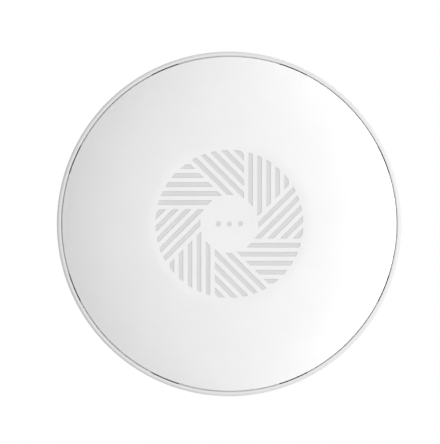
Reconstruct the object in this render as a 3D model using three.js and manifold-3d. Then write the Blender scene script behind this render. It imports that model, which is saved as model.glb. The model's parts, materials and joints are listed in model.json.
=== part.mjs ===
// A round ceiling access point: a domed cover and a bowl-shaped rear casing round one circuit board,
// hung from a bayonet bracket that is screwed to the ceiling.
// Millimetres. Z is up: the ceiling is the plane z = 0, the unit hangs below it and its face looks down.
// Seen from below with +X to the right, -Y is up.
import * as THREE from "three";
import { mergeVertices } from "three/addons/utils/BufferGeometryUtils.js";
import Module from "manifold-3d";

const wasm = await Module();
wasm.setup();

// ---- Driving dimensions -------------------------------------------------------------------------

// The unit as a whole
const BODY_RADIUS = 86; // outside of the rim, the widest place
const OVERALL_HEIGHT = 36; // ceiling to the flat of the face
const CEILING_GAP = 1; // air between the back of the rear casing and the ceiling
const FIT_GAP = 0.2; // between pieces that rest on, hold or slide past each other

// Front cover
const COVER_WALL = 2;
const DOME_DROP = 4.65; // from the flat back to the edge of the cover
const DOME_CURVE = [0.38, 0.45, 0, 0.17]; // shares of the drop that grow as the 1st to 4th power
const FLAT_RADIUS = 40; // flat middle of the face
const SHADOW_GAP = 0.55; // between the cover and the rim round it
const LIP_DEPTH = 1.7; // edge of the cover that stands on the casing's ledge
const LIP_WIDTH = 2;
const SKIRT_WALL = 1.8;
const SKIRT_DEPTH = 3.2;
const HOOK_WALL = 1.4;
const HOOK_LENGTH = 9.2; // from the ledge to the tip of a hook
const HOOK_NOSE = 1.3; // how far a nose stands out
const HOOK_NOSE_HEIGHT = 2.2;
const HOOK_COUNT = 8;
const HOOK_ANGLE = 8.5;
const WINDOW_ANGLE = 10; // opening in the ledge under each hook

// Striped light window in the flat of the face
const STRIPE_GROUPS = 8;
const STRIPES_PER_GROUP = 5;
const STRIPE_WIDTH = 2.1;
const STRIPE_PITCH = 4.47;
const STRIPE_FIRST = 10.6; // centre of the innermost stripe, from the middle of the face
const STRIPE_FIELD_MARGIN = 3.3; // flat that is left outside the stripes
const STRIPE_HUB_RADIUS = 14.5; // plain middle inside the stripes
const STATUS_DOT_RADIUS = 1.2;
const STATUS_DOT_PITCH = 5.5;
const STATUS_DOTS = 3;
const LAND_GAP = 0.12; // round each land of the diffuser in its slot
const LAND_SET_BACK = 0.1; // lands stop this far behind the face
const DIFFUSER_WALL = 1;
const DIFFUSER_MARGIN = 1.6; // diffuser's edge inside the flat
const REFLECTOR_WALL = 1.3;
const REFLECTOR_MOUTH_RADIUS = 22;

// Rear casing
const CASING_WALL = 2;
const RIM_WIDTH = 2.1; // edge of the casing that shows round the cover
const RIM_ROUND = 1.7;
const SIDE_HEIGHT = 6; // straight stretch of the side above the rim
const BACK_INSET = 11; // how much smaller the back is than the rim
const LEDGE_THICKNESS = 1.6;
const CATCH_HEIGHT = 2;
const RECESS_DEPTH = 7.2; // round recess in the back that takes the bracket
const VENT_GROUPS = 4;
const VENTS_PER_GROUP = 7;
const VENT_PITCH = 5; // degrees
const VENT_WIDTH = 2;
const VENT_MARGIN = 2.4;
const POST_RADIUS = 3.6;

// Bayonet bracket
const BRACKET_RADIUS = 52;
const BRACKET_HEIGHT = 4.6;
const BRACKET_PLATE = 2.4;
const BRACKET_RIB = 2;
const BRACKET_OPENING = { width: 40, length: 26, corner: 6, y: -21 };
const CENTRE_PAD_RADIUS = 8;
const DISH_RIB = { width: 1.2, drop: 0.6, angles: [0, 25, 65, 90, 115, 155, 335] };
const LUG_COUNT = 4;
const LUG_REACH = 3.6;
const LUG_ANGLE = 20;
const LUG_THICKNESS = 1.6;
const LUG_STOP_ANGLE = 2.5;
const LUG_SIDE_GAP = 0.8; // between a lug's tip and the wall it sweeps past
const BAYONET_TWIST = 24; // degrees from locked to free
const SCREW_SLOT = { width: 4, length: 8.4, head: 9.4, sink: 1.2, edge: 9.6 };
const SCREW_BOSS_RADIUS = 6.6;

// Detent finger of the bracket, and the ramp that lifts it
const FINGER = { width: 6, wall: 1.6, from: 162, to: 200, root: 4, nib: 4 };
const FINGER_OUTER_MARGIN = 3.5; // finger's outer edge inside the bracket's edge
const FINGER_SLOT_GAP = 0.9;
const NIB_HEIGHT = 2;
const NIB_LIFT = 4; // degrees that the finger bends over the whole twist

// Circuit board and what stands on it
const BOARD_THICKNESS = 1.6;
const BOARD_MARGIN = 10; // board's edge inside the rim
const BOARD_SCREW_EDGE = 4.1; // board screws inside the recess wall
const SCREW = { shank: 1.3, head: 2.8, headHeight: 1.9, length: 8, recess: 0.9 };
const PILOT_GAP = 0.15;
const SOLDER = 0.1; // under every part that stands on the board
const SOC = { width: 38, length: 32, height: 2.8, x: -42, y: 0, sheet: 0.3 };
const PAD_THICKNESS = 1;
const HEAT_SINK = { inset: 2, base: 2, fins: 9, finWall: 1.4, headroom: 1 };
const RADIO = { width: 24, length: 19, height: 2.2, x: 14, y: -53, sheet: 0.3 };
const CAPACITOR = { radius: 4, height: 9.5, groove: 0.5 };
const AERIAL = { width: 28, length: 9, sheet: 0.4, airGap: 0.9, edge: 12 };
const LED = { width: 3.2, length: 2.8, lens: 1.2, height: 1.3, radius: 12 };
const LABEL = { width: 40, length: 16, corner: 2, y: 34, thickness: 0.2, recess: 0.3 };

// Network socket, in the pocket that the cable enters
const JACK = { width: 16.2, height: 12.2, length: 21.3, shell: 0.25 };
const JACK_HEADROOM = 2;
const MOUTH = { width: 11.9, height: 6.9, sill: 2.2, depth: 12.8 };
const LATCH_STEPS = [
  { width: 6.4, height: 1.4 },
  { width: 3.6, height: 0.7 },
];
const CONTACTS = 8;
const CONTACT = { pitch: 1.02, width: 0.45, rise: 2.1, foot: 0.35 };
const POCKET = { width: 30.4, length: 43, wall: 1.8, floor: 1.5, frontY: 11 };
const POCKET_CORNER = 3;

// Reset switch beside the socket
const RESET = { x: 11.5, z: 3.4, pinhole: 1, plunger: 1.6, travel: 0.3 };
const SWITCH = { width: 6, depth: 3.6, height: 5.4 };

// ---- Levels and radii that follow from them -----------------------------------------------------

const faceZ = -OVERALL_HEIGHT;

const rimInnerRadius = BODY_RADIUS - RIM_WIDTH;
const coverRadius = rimInnerRadius - SHADOW_GAP;
const domeZ = (r) => {
  const t = Math.max(0, (r - FLAT_RADIUS) / (coverRadius - FLAT_RADIUS));
  return faceZ + DOME_DROP * DOME_CURVE.reduce((sum, share, i) => sum + share * t ** (i + 1), 0);
};
const rimZ = domeZ(coverRadius);
const ledgeZ = rimZ + LIP_DEPTH + FIT_GAP;
const skirtRadius = coverRadius - LIP_WIDTH;
const ledgeRadius = skirtRadius + 2 * FIT_GAP;
const hookTipZ = ledgeZ + HOOK_LENGTH;
const noseZ = hookTipZ - HOOK_NOSE_HEIGHT;

const recessRadius = BRACKET_RADIUS + LUG_REACH + LUG_SIDE_GAP;
const backZ = -CEILING_GAP;
const backRadius = BODY_RADIUS - BACK_INSET;
const recessFloorZ = backZ - RECESS_DEPTH;
const casingCeilingZ = recessFloorZ - CASING_WALL;
const recessOuterRadius = recessRadius + CASING_WALL;

const boardTopZ = casingCeilingZ - JACK_HEADROOM - JACK.height;
const boardBottomZ = boardTopZ - BOARD_THICKNESS;
const boardRadius = BODY_RADIUS - BOARD_MARGIN;
const pocketFloorZ = boardTopZ + MOUTH.sill - FIT_GAP;
const pocketBackY = POCKET.frontY - POCKET.length;
const wallBehindY = POCKET.frontY + POCKET.wall;

const lugTopZ = -BRACKET_HEIGHT + LUG_THICKNESS;
const fingerOuterRadius = BRACKET_RADIUS - FINGER_OUTER_MARGIN;
const fingerRadius = fingerOuterRadius - FINGER.width / 2;
const fieldRadius = FLAT_RADIUS - STRIPE_FIELD_MARGIN;
const diffuserRadius = FLAT_RADIUS - DIFFUSER_MARGIN;
const coverInnerFlatZ = faceZ + COVER_WALL;
const diffuserBackZ = coverInnerFlatZ + FIT_GAP + DIFFUSER_WALL;

const ROUND = 64; // segments of a large round piece
const SMALL_ROUND = 12;

// ---- Solids from three.js geometry, and back ----------------------------------------------------

const radians = THREE.MathUtils.degToRad;

function solidOf(geometry) {
  const bare = geometry.index ? geometry.toNonIndexed() : geometry.clone();
  bare.deleteAttribute("normal");
  bare.deleteAttribute("uv");
  const merged = mergeVertices(bare, 1e-4);
  const mesh = new wasm.Mesh({
    numProp: 3,
    vertProperties: merged.attributes.position.array,
    triVerts: new Uint32Array(merged.index.array),
  });
  return new wasm.Manifold(mesh);
}

function geometryOf(solid) {
  const mesh = solid.getMesh();
  const positions = new THREE.BufferAttribute(mesh.vertProperties, 3);
  const geometry = new THREE.BufferGeometry().setAttribute("position", positions);
  geometry.setIndex(new THREE.BufferAttribute(mesh.triVerts, 1));
  geometry.computeVertexNormals();
  return geometry;
}

const addAll = (solids) => solids.reduce((whole, next) => whole.add(next));
const cutAll = (solid, tools) => solid.subtract(addAll(tools));
const range = (count, make) => Array.from({ length: count }, (_, i) => make(i));
const about = (solid, degrees) => solid.rotate([0, 0, degrees]);
const ring = (solid, count, first = 0) => {
  return addAll(range(count, (i) => about(solid, first + (i * 360) / count)));
};

// A box between two corners.
function block([x0, y0, z0], [x1, y1, z1]) {
  const box = new THREE.BoxGeometry(x1 - x0, y1 - y0, z1 - z0);
  return solidOf(box.translate((x0 + x1) / 2, (y0 + y1) / 2, (z0 + z1) / 2));
}

// A box centred on (x, y) that stands between two levels.
function slab(width, length, z0, z1, x = 0, y = 0) {
  return block([x - width / 2, y - length / 2, z0], [x + width / 2, y + length / 2, z1]);
}

// An upright cylinder.
function disc(radius, z0, z1, x = 0, y = 0, segments = SMALL_ROUND) {
  const cylinder = new THREE.CylinderGeometry(radius, radius, z1 - z0, segments);
  return solidOf(cylinder.rotateX(Math.PI / 2).translate(x, y, (z0 + z1) / 2));
}

// A cylinder along Y.
function barrel(radius, y0, y1, x, z) {
  const cylinder = new THREE.CylinderGeometry(radius, radius, y1 - y0, SMALL_ROUND);
  return solidOf(cylinder.translate(x, (y0 + y1) / 2, z));
}

// An outline in the XY plane pulled up between two levels.
function pulled(shape, z0, z1, curveSegments = 8) {
  const options = { depth: z1 - z0, bevelEnabled: false, curveSegments };
  return solidOf(new THREE.ExtrudeGeometry(shape, options).translate(0, 0, z0));
}

// A profile of [radius, z] points, turned about Z. It runs up the outside and back down the inside.
function turned(points, segments = ROUND) {
  const profile = points.map(([r, z]) => new THREE.Vector2(r, z));
  return solidOf(new THREE.LatheGeometry(profile, segments).rotateX(Math.PI / 2));
}

// Part of a flat ring, between two angles in degrees.
function sector(innerRadius, outerRadius, from, to, z0, z1) {
  const shape = new THREE.Shape();
  shape.absarc(0, 0, outerRadius, radians(from), radians(to), false);
  shape.absarc(0, 0, innerRadius, radians(to), radians(from), true);
  return pulled(shape, z0, z1, Math.max(3, Math.ceil(Math.abs(to - from) / 5)));
}

function roundedRectangle(width, length, corner, x = 0, y = 0) {
  const shape = new THREE.Shape();
  const right = x + width / 2 - corner;
  const top = y + length / 2 - corner;
  const left = x - width / 2 + corner;
  const bottom = y - length / 2 + corner;
  shape.absarc(right, top, corner, 0, Math.PI / 2, false);
  shape.absarc(left, top, corner, Math.PI / 2, Math.PI, false);
  shape.absarc(left, bottom, corner, Math.PI, 1.5 * Math.PI, false);
  shape.absarc(right, bottom, corner, 1.5 * Math.PI, 2 * Math.PI, false);
  return shape;
}

function roundedSlab(width, length, corner, z0, z1, x = 0, y = 0) {
  return pulled(roundedRectangle(width, length, corner, x, y), z0, z1, 3);
}

// ---- Striped light window -----------------------------------------------------------------------

// The stripes and status dots as solids between two levels, each grown by "grow" all round.
// A group is a fan of parallel stripes. It ends at the round field, at the plain hub, and one stripe
// gap short of the next group's innermost stripe.
function lightPattern(z0, z1, grow) {
  const reach = 2 * fieldRadius;
  const stripes = range(STRIPES_PER_GROUP, (k) => {
    const y = -(STRIPE_FIRST + k * STRIPE_PITCH);
    return slab(reach, STRIPE_WIDTH + 2 * grow, z0, z1, 0, y);
  });
  const field = disc(fieldRadius + grow, z0, z1, 0, 0, ROUND);
  const hub = disc(STRIPE_HUB_RADIUS - grow, z0 - 1, z1 + 1, 0, 0, ROUND);
  const end = STRIPE_FIRST - STRIPE_PITCH + STRIPE_WIDTH / 2 + grow;
  const beyond = about(slab(reach, 2 * reach, z0 - 1, z1 + 1, end + reach / 2, 0), -45);
  const group = addAll(stripes).intersect(field).subtract(hub).subtract(beyond);
  const dots = range(STATUS_DOTS, (i) => {
    const x = (i - (STATUS_DOTS - 1) / 2) * STATUS_DOT_PITCH;
    return disc(STATUS_DOT_RADIUS + grow, z0, z1, x, 0);
  });
  return ring(group, STRIPE_GROUPS).add(addAll(dots));
}

// ---- Front cover --------------------------------------------------------------------------------

// Domed shell with a lip on its edge, a low skirt inside the lip, eight hooks and the slotted flat.
function frontCover() {
  const steps = 5;
  const outside = range(steps + 1, (i) => {
    const r = FLAT_RADIUS + ((coverRadius - 0.4 - FLAT_RADIUS) * i) / steps;
    return [r, domeZ(r)];
  });
  const inside = range(steps + 1, (i) => {
    const r = skirtRadius - SKIRT_WALL - ((skirtRadius - SKIRT_WALL - FLAT_RADIUS) * i) / steps;
    return [r, domeZ(r) + COVER_WALL];
  });
  const shell = turned([
    [0, faceZ],
    ...outside,
    [coverRadius, rimZ + 0.4],
    [coverRadius, rimZ + LIP_DEPTH],
    [skirtRadius, rimZ + LIP_DEPTH],
    [skirtRadius, rimZ + LIP_DEPTH + SKIRT_DEPTH],
    [skirtRadius - SKIRT_WALL, rimZ + LIP_DEPTH + SKIRT_DEPTH],
    ...inside,
    [0, coverInnerFlatZ],
  ]);
  return addAll([shell, hooks()]).subtract(lightPattern(faceZ - 1, coverInnerFlatZ + 1, 0));
}

// Tongues that reach up past the ledge, each with a nose that snaps over a catch of the casing.
function hooks() {
  const face = skirtRadius - FIT_GAP;
  const tongue = turned([
    [face - HOOK_WALL, rimZ + LIP_DEPTH],
    [face, rimZ + LIP_DEPTH],
    [face, noseZ],
    [face + HOOK_NOSE, noseZ],
    [face + 0.4 * HOOK_NOSE, hookTipZ],
    [face - HOOK_WALL, hookTipZ],
    [face - HOOK_WALL, rimZ + LIP_DEPTH],
  ]);
  const wedge = sector(FLAT_RADIUS, BODY_RADIUS, -HOOK_ANGLE / 2, HOOK_ANGLE / 2, rimZ, backZ);
  return tongue.intersect(ring(wedge, HOOK_COUNT, 180 / HOOK_COUNT));
}

// ---- Light diffuser and reflector ---------------------------------------------------------------

// Translucent plate behind the flat. Its lands fill the slots of the cover.
function lightDiffuser() {
  const front = coverInnerFlatZ + FIT_GAP;
  const plate = disc(diffuserRadius, front, diffuserBackZ, 0, 0, 64);
  return plate.add(lightPattern(faceZ + LAND_SET_BACK, front + DIFFUSER_WALL / 2, -LAND_GAP));
}

// White cone between the board's lights and the diffuser.
function lightReflector() {
  const top = boardBottomZ - FIT_GAP;
  const bottom = diffuserBackZ + FIT_GAP;
  const edge = diffuserRadius - FIT_GAP;
  return turned(
    [
      [REFLECTOR_MOUTH_RADIUS, top],
      [REFLECTOR_MOUTH_RADIUS, top - REFLECTOR_WALL],
      [edge - REFLECTOR_WALL, bottom],
      [edge, bottom],
      [edge, bottom + REFLECTOR_WALL],
      [REFLECTOR_MOUTH_RADIUS + 2 * REFLECTOR_WALL, top],
      [REFLECTOR_MOUTH_RADIUS, top],
    ],
    64,
  );
}

// ---- Rear casing --------------------------------------------------------------------------------

// The side's curve from the rim to the back, "inset" inside the outer surface.
function sideCurve(inset) {
  const low = new THREE.Vector2(BODY_RADIUS - inset, rimZ + SIDE_HEIGHT);
  const high = new THREE.Vector2(backRadius - inset / 2, backZ - inset);
  const rise = high.y - low.y;
  const lowPull = new THREE.Vector2(low.x, low.y + 0.55 * rise);
  const highPull = new THREE.Vector2(high.x + 0.6 * BACK_INSET, high.y);
  const curve = new THREE.CubicBezierCurve(low, lowPull, highPull, high);
  return curve.getPoints(5).map((p) => [p.x, p.y]);
}

function casingShell() {
  const roundOver = range(4, (i) => {
    const a = radians(270 + i * 30);
    const centre = [BODY_RADIUS - RIM_ROUND, rimZ + RIM_ROUND];
    return [centre[0] + RIM_ROUND * Math.cos(a), centre[1] + RIM_ROUND * Math.sin(a)];
  });
  return turned([
    [0, casingCeilingZ],
    [recessOuterRadius, casingCeilingZ],
    [recessOuterRadius, backZ - CASING_WALL],
    ...sideCurve(CASING_WALL).reverse(),
    [BODY_RADIUS - CASING_WALL, ledgeZ + LEDGE_THICKNESS],
    [ledgeRadius, ledgeZ + LEDGE_THICKNESS],
    [ledgeRadius, ledgeZ],
    [rimInnerRadius, ledgeZ],
    [rimInnerRadius, rimZ],
    ...roundOver,
    ...sideCurve(0),
    [recessRadius, backZ],
    [recessRadius, recessFloorZ],
    [0, recessFloorZ],
  ]);
}

// Blocks on the inside of the side wall, one under each window of the ledge.
function catches() {
  const top = noseZ - FIT_GAP;
  const outer = BODY_RADIUS - CASING_WALL / 2;
  const half = WINDOW_ANGLE / 2;
  const one = sector(ledgeRadius, outer, -half, half, top - CATCH_HEIGHT, top);
  return ring(one, HOOK_COUNT, 180 / HOOK_COUNT);
}

function ledgeWindows() {
  const half = WINDOW_ANGLE / 2;
  const inner = ledgeRadius - 1;
  const outer = rimInnerRadius - FIT_GAP;
  const one = sector(inner, outer, -half, half, ledgeZ - 1, ledgeZ + LEDGE_THICKNESS + 0.5);
  return ring(one, HOOK_COUNT, 180 / HOOK_COUNT);
}

// Lugs that reach in from the recess wall and rest on the bracket's lugs.
function casingLugs() {
  const half = LUG_ANGLE / 2;
  const inner = BRACKET_RADIUS + LUG_SIDE_GAP;
  const one = sector(inner, recessRadius + CASING_WALL / 2, -half, half, lugTopZ + FIT_GAP, backZ);
  return ring(one, LUG_COUNT, 180 / LUG_COUNT);
}

// Wedge on the recess floor. It rises along the twist, just under the finger's nib.
function detentRamp() {
  const length = BAYONET_TWIST + FINGER.nib;
  const bottomZ = recessFloorZ - CASING_WALL / 2;
  const strip = new THREE.BoxGeometry(1, 1, 1, 7, 1, 1);
  const position = strip.getAttribute("position");
  const arm = fingerRadius * Math.sin(radians(FINGER.to - FINGER.from));
  for (let i = 0; i < position.count; i += 1) {
    const along = position.getX(i) + 0.5;
    const turn = Math.max(0, along * length - FINGER.nib);
    const lift = arm * Math.sin(radians((turn * NIB_LIFT) / BAYONET_TWIST));
    const topZ = -BRACKET_HEIGHT - NIB_HEIGHT - FIT_GAP + lift;
    const angle = radians(FINGER.to - FINGER.nib + along * length);
    const radius = fingerRadius + position.getY(i) * FINGER.width;
    const z = position.getZ(i) > 0 ? topZ : bottomZ;
    position.setXYZ(i, radius * Math.cos(angle), radius * Math.sin(angle), z);
  }
  return solidOf(strip);
}

// Slots through the back, in four groups between the lugs.
function vents() {
  const inner = recessOuterRadius + VENT_MARGIN;
  const outer = backRadius - VENT_MARGIN;
  const shape = roundedRectangle(outer - inner, VENT_WIDTH, VENT_WIDTH / 2, (inner + outer) / 2, 0);
  const slot = pulled(shape, backZ - 2 * CASING_WALL, backZ + 1, 1);
  const group = addAll(
    range(VENTS_PER_GROUP, (i) => about(slot, (i - (VENTS_PER_GROUP - 1) / 2) * VENT_PITCH)),
  );
  return ring(group, VENT_GROUPS);
}

const boardScrewPlaces = range(4, (i) => {
  const place = (recessRadius - BOARD_SCREW_EDGE) * Math.SQRT1_2;
  return [i % 2 ? place : -place, i < 2 ? -place : place];
});

// Deep pocket in the recess floor, where the plug goes in under the cable opening.
function pocketBox(inset, floorZ, topZ) {
  const width = POCKET.width + 2 * inset;
  const length = POCKET.length + 2 * inset;
  const middle = POCKET.frontY - POCKET.length / 2;
  return roundedSlab(width, length, POCKET_CORNER + inset, floorZ, topZ, 0, middle);
}

function rearCasing() {
  const jackGap = JACK.width / 2 + FIT_GAP;
  const pocketOutside = pocketBox(POCKET.wall, pocketFloorZ - POCKET.floor, recessFloorZ - 1);
  const posts = boardScrewPlaces.map(([x, y]) => {
    return disc(POST_RADIUS, boardTopZ + FIT_GAP, casingCeilingZ + 1, x, y);
  });
  const solid = addAll([casingShell(), catches(), casingLugs(), detentRamp(), pocketOutside, ...posts]);
  const pilots = boardScrewPlaces.map(([x, y]) => {
    const top = boardBottomZ + SCREW.length + 1;
    return disc(SCREW.shank + PILOT_GAP, boardTopZ - 1, top, x, y);
  });
  return cutAll(solid, [
    pocketBox(0, pocketFloorZ, recessFloorZ + 1),
    block(
      [-jackGap, POCKET.frontY, boardTopZ - 1],
      [jackGap, wallBehindY + 1, boardTopZ + JACK.height + FIT_GAP],
    ),
    barrel(RESET.pinhole, POCKET.frontY - 1, wallBehindY + 1, RESET.x, boardTopZ + RESET.z),
    labelPlate(FIT_GAP, -LABEL.recess, 1),
    ledgeWindows(),
    vents(),
    ...pilots,
  ]);
}

// The rating label's outline, grown by "grow", between two heights above the recess floor.
function labelPlate(grow, low, high) {
  const { width, length, corner, y } = LABEL;
  return roundedSlab(
    width + 2 * grow,
    length + 2 * grow,
    corner + grow,
    recessFloorZ + low,
    recessFloorZ + high,
    0,
    y,
  );
}

// Blank label in its shallow recess.
function ratingLabel() {
  const gap = (LABEL.recess - LABEL.thickness) / 2;
  return labelPlate(0, gap - LABEL.recess, gap - LABEL.recess + LABEL.thickness);
}

// ---- Bracket ------------------------------------------------------------------------------------

const screwPlaces = range(4, (i) => {
  const place = (BRACKET_RADIUS - SCREW_SLOT.edge) * Math.SQRT1_2;
  return [i % 2 ? place : -place, i < 2 ? -place : place];
});

// A slot that runs outwards from the bracket's middle, through a boss.
function screwSlot([x, y]) {
  const { width, length } = SCREW_SLOT;
  const slot = roundedSlab(width, length, width / 2 - 0.01, -BRACKET_HEIGHT - 1, 1, 0, 0);
  return about(slot, THREE.MathUtils.radToDeg(Math.atan2(y, x))).translate([x, y, 0]);
}

function mountingBracket() {
  const plateTop = -BRACKET_HEIGHT + BRACKET_PLATE;
  const { width, length, corner, y: middle } = BRACKET_OPENING;
  const half = LUG_ANGLE / 2;
  const stopFrom = half + 0.5;
  const lug = addAll([
    sector(
      BRACKET_RADIUS - BRACKET_RIB,
      BRACKET_RADIUS + LUG_REACH,
      -half,
      stopFrom + LUG_STOP_ANGLE,
      -BRACKET_HEIGHT,
      lugTopZ,
    ),
    sector(
      BRACKET_RADIUS - BRACKET_RIB,
      BRACKET_RADIUS + LUG_REACH,
      stopFrom,
      stopFrom + LUG_STOP_ANGLE,
      -BRACKET_HEIGHT,
      backZ,
    ),
  ]);
  const rim = disc(BRACKET_RADIUS, -BRACKET_HEIGHT, 0, 0, 0, ROUND);
  const dish = disc(BRACKET_RADIUS - BRACKET_RIB, plateTop, 1, 0, 0, ROUND);
  const grow = 2 * BRACKET_RIB;
  const outerCorner = corner + BRACKET_RIB;
  const collar = roundedSlab(width + grow, length + grow, outerCorner, plateTop - 1, 0, 0, middle);
  const pad = disc(CENTRE_PAD_RADIUS, plateTop - 1, 0, 0, 0, 24);
  const bosses = screwPlaces.map(([x, y]) => disc(SCREW_BOSS_RADIUS, plateTop - 1, 0, x, y, 24));
  const lugs = ring(lug, LUG_COUNT, 180 / LUG_COUNT);
  const ribEnds = [CENTRE_PAD_RADIUS - 1, BRACKET_RADIUS - BRACKET_RIB / 2];
  const rib = slab(
    ribEnds[1] - ribEnds[0],
    DISH_RIB.width,
    plateTop - 1,
    -DISH_RIB.drop,
    (ribEnds[0] + ribEnds[1]) / 2,
    0,
  );
  const ribs = DISH_RIB.angles.map((angle) => about(rib, angle));
  const solid = addAll([rim.subtract(dish), collar, pad, ...ribs, ...bosses, lugs]);
  const sink = screwPlaces.map(([x, y]) => {
    const top = -BRACKET_HEIGHT + SCREW_SLOT.sink;
    return disc(SCREW_SLOT.head / 2, -BRACKET_HEIGHT - 1, top, x, y, 24);
  });
  const gap = FINGER_SLOT_GAP;
  const fingerSlot = sector(
    fingerOuterRadius - FINGER.width - gap,
    fingerOuterRadius + gap,
    FINGER.from - 0.4,
    FINGER.to + 1.6,
    -BRACKET_HEIGHT - 1,
    1,
  );
  return cutAll(solid, [
    roundedSlab(width, length, corner, -BRACKET_HEIGHT - 1, 1, 0, middle),
    ...screwPlaces.map(screwSlot),
    ...sink,
    fingerSlot,
  ]);
}

// Springy tongue of the bracket. Its nib rides up the casing's ramp as the unit is turned.
function detentFinger() {
  const inner = fingerOuterRadius - FINGER.width;
  const bottom = -BRACKET_HEIGHT;
  const { from, to, root, nib, wall } = FINGER;
  return addAll([
    sector(inner, fingerOuterRadius, from, to, bottom, bottom + wall),
    sector(inner, fingerOuterRadius, from, from + root, bottom, bottom + BRACKET_PLATE),
    sector(inner + 1, fingerOuterRadius - 1, to - nib, to, bottom - NIB_HEIGHT, bottom + wall),
  ]);
}

// ---- Circuit board and its parts ----------------------------------------------------------------

function mainBoard() {
  const shape = new THREE.Shape();
  shape.absarc(0, 0, boardRadius, 0, 2 * Math.PI, false);
  const board = pulled(shape, boardBottomZ, boardTopZ, ROUND);
  const notches = [-1, 1].map((side) => {
    return disc(2.5, boardBottomZ - 1, boardTopZ + 1, 0, side * boardRadius);
  });
  const holes = boardScrewPlaces.map(([x, y]) => {
    return disc(SCREW.shank + 0.4, boardBottomZ - 1, boardTopZ + 1, x, y);
  });
  return cutAll(board, [...notches, ...holes]);
}

// A block that stands on the top of the board, with a small air gap for its solder.
function onBoard(width, length, height, x, y, corner = 0.6) {
  const foot = boardTopZ + SOLDER;
  return roundedSlab(width, length, corner, foot, foot + height, x, y);
}

// A pressed lid over a group of chips, open underneath.
function shieldCan({ width, length, height, x, y, sheet }) {
  const outside = onBoard(width, length, height, x, y, 1.2);
  const floor = boardTopZ - 1;
  const top = boardTopZ + SOLDER + height - sheet;
  const inside = slab(width - 2 * sheet, length - 2 * sheet, floor, top, x, y);
  return outside.subtract(inside);
}

// Finned block, made by pulling its comb-shaped outline along Y.
function heatSink() {
  const foot = boardTopZ + SOLDER + SOC.height + PAD_THICKNESS + 2 * SOLDER;
  const { inset, base, fins, finWall, headroom } = HEAT_SINK;
  const width = SOC.width - 2 * inset;
  const length = SOC.length - 2 * inset;
  const pitch = (width - finWall) / (fins - 1);
  const height = casingCeilingZ - headroom - foot;
  const shape = new THREE.Shape();
  shape.moveTo(0, 0);
  shape.lineTo(width, 0);
  for (let i = fins - 1; i >= 0; i -= 1) {
    shape.lineTo(i * pitch + finWall, height);
    shape.lineTo(i * pitch, height);
    if (i > 0) {
      shape.lineTo(i * pitch, base);
      shape.lineTo((i - 1) * pitch + finWall, base);
    }
  }
  const comb = new THREE.ExtrudeGeometry(shape, { depth: length, bevelEnabled: false });
  return solidOf(comb.rotateX(Math.PI / 2).translate(SOC.x - width / 2, SOC.y + length / 2, foot));
}

function thermalPad() {
  const foot = boardTopZ + 2 * SOLDER + SOC.height;
  return slab(SOC.width - 10, SOC.length - 10, foot, foot + PAD_THICKNESS, SOC.x, SOC.y);
}

// Can with a rolled groove near its foot.
function capacitor(x, y) {
  const foot = boardTopZ + SOLDER;
  const { radius, height, groove } = CAPACITOR;
  const can = turned(
    [
      [0, foot],
      [radius, foot],
      [radius, foot + 2 * groove],
      [radius - groove, foot + 3 * groove],
      [radius, foot + 4 * groove],
      [radius, foot + height - groove],
      [radius - groove, foot + height],
      [0, foot + height],
    ],
    SMALL_ROUND,
  );
  return can.translate([x, y, 0]);
}

// Pressed-metal aerial on the room side of the board: a plate on a feed leg and a ground leg.
function aerial(angle) {
  const { width, length, sheet } = AERIAL;
  const radius = boardRadius - AERIAL.edge;
  const foot = boardBottomZ - SOLDER;
  const plateZ = domeZ(radius + length / 2) + COVER_WALL + AERIAL.airGap;
  const innerEdge = radius - length / 2 + sheet / 2;
  const outerEdge = radius + length / 2 - sheet / 2;
  const solid = addAll([
    slab(length, width, plateZ, plateZ + sheet, radius, 0),
    slab(sheet, 3, plateZ, foot, innerEdge, 1.5 - width / 2),
    slab(sheet, 2, plateZ, foot, innerEdge, 8 - width / 2),
    slab(sheet, width - 12, plateZ, (plateZ + foot) / 2, outerEdge, 4),
  ]);
  return about(solid, angle);
}

// Small light on the room side of the board.
function statusLed(angle) {
  const foot = boardBottomZ - SOLDER;
  const body = slab(LED.width, LED.length, foot - LED.height / 2, foot, LED.radius, 0);
  const lens = disc(LED.lens, foot - LED.height, foot - LED.height / 3, LED.radius, 0);
  return about(body.add(lens), angle);
}

// Pan-head screw from the room side, through the board into a post.
function boardScrew([x, y]) {
  const seat = boardBottomZ - SOLDER;
  const head = disc(SCREW.head, seat - SCREW.headHeight, seat, x, y);
  const shank = disc(SCREW.shank, seat - 0.5, seat + SCREW.length, x, y);
  const arm = SCREW.head * 1.1;
  const cross = addAll([
    slab(arm, 0.7, seat - SCREW.headHeight - 1, seat - SCREW.headHeight + SCREW.recess, x, y),
    slab(0.7, arm, seat - SCREW.headHeight - 1, seat - SCREW.headHeight + SCREW.recess, x, y),
  ]);
  return head.add(shank).subtract(cross);
}

// ---- Network socket -----------------------------------------------------------------------------

const jackFrontY = POCKET.frontY + 0.3;
const jackBackY = jackFrontY + JACK.length;
const mouthZ = boardTopZ + MOUTH.sill;

// The plug-shaped opening: a wide part with two steps for the latch above it.
function mouth(grow, y0, y1) {
  const wide = block(
    [-MOUTH.width / 2 - grow, y0, mouthZ - grow],
    [MOUTH.width / 2 + grow, y1, mouthZ + MOUTH.height + grow],
  );
  let top = mouthZ + MOUTH.height;
  const steps = LATCH_STEPS.map(({ width, height }) => {
    const foot = top - 0.5;
    top += height;
    return block([-width / 2 - grow, y0, foot], [width / 2 + grow, y1, top + grow]);
  });
  return addAll([wide, ...steps]);
}

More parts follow.
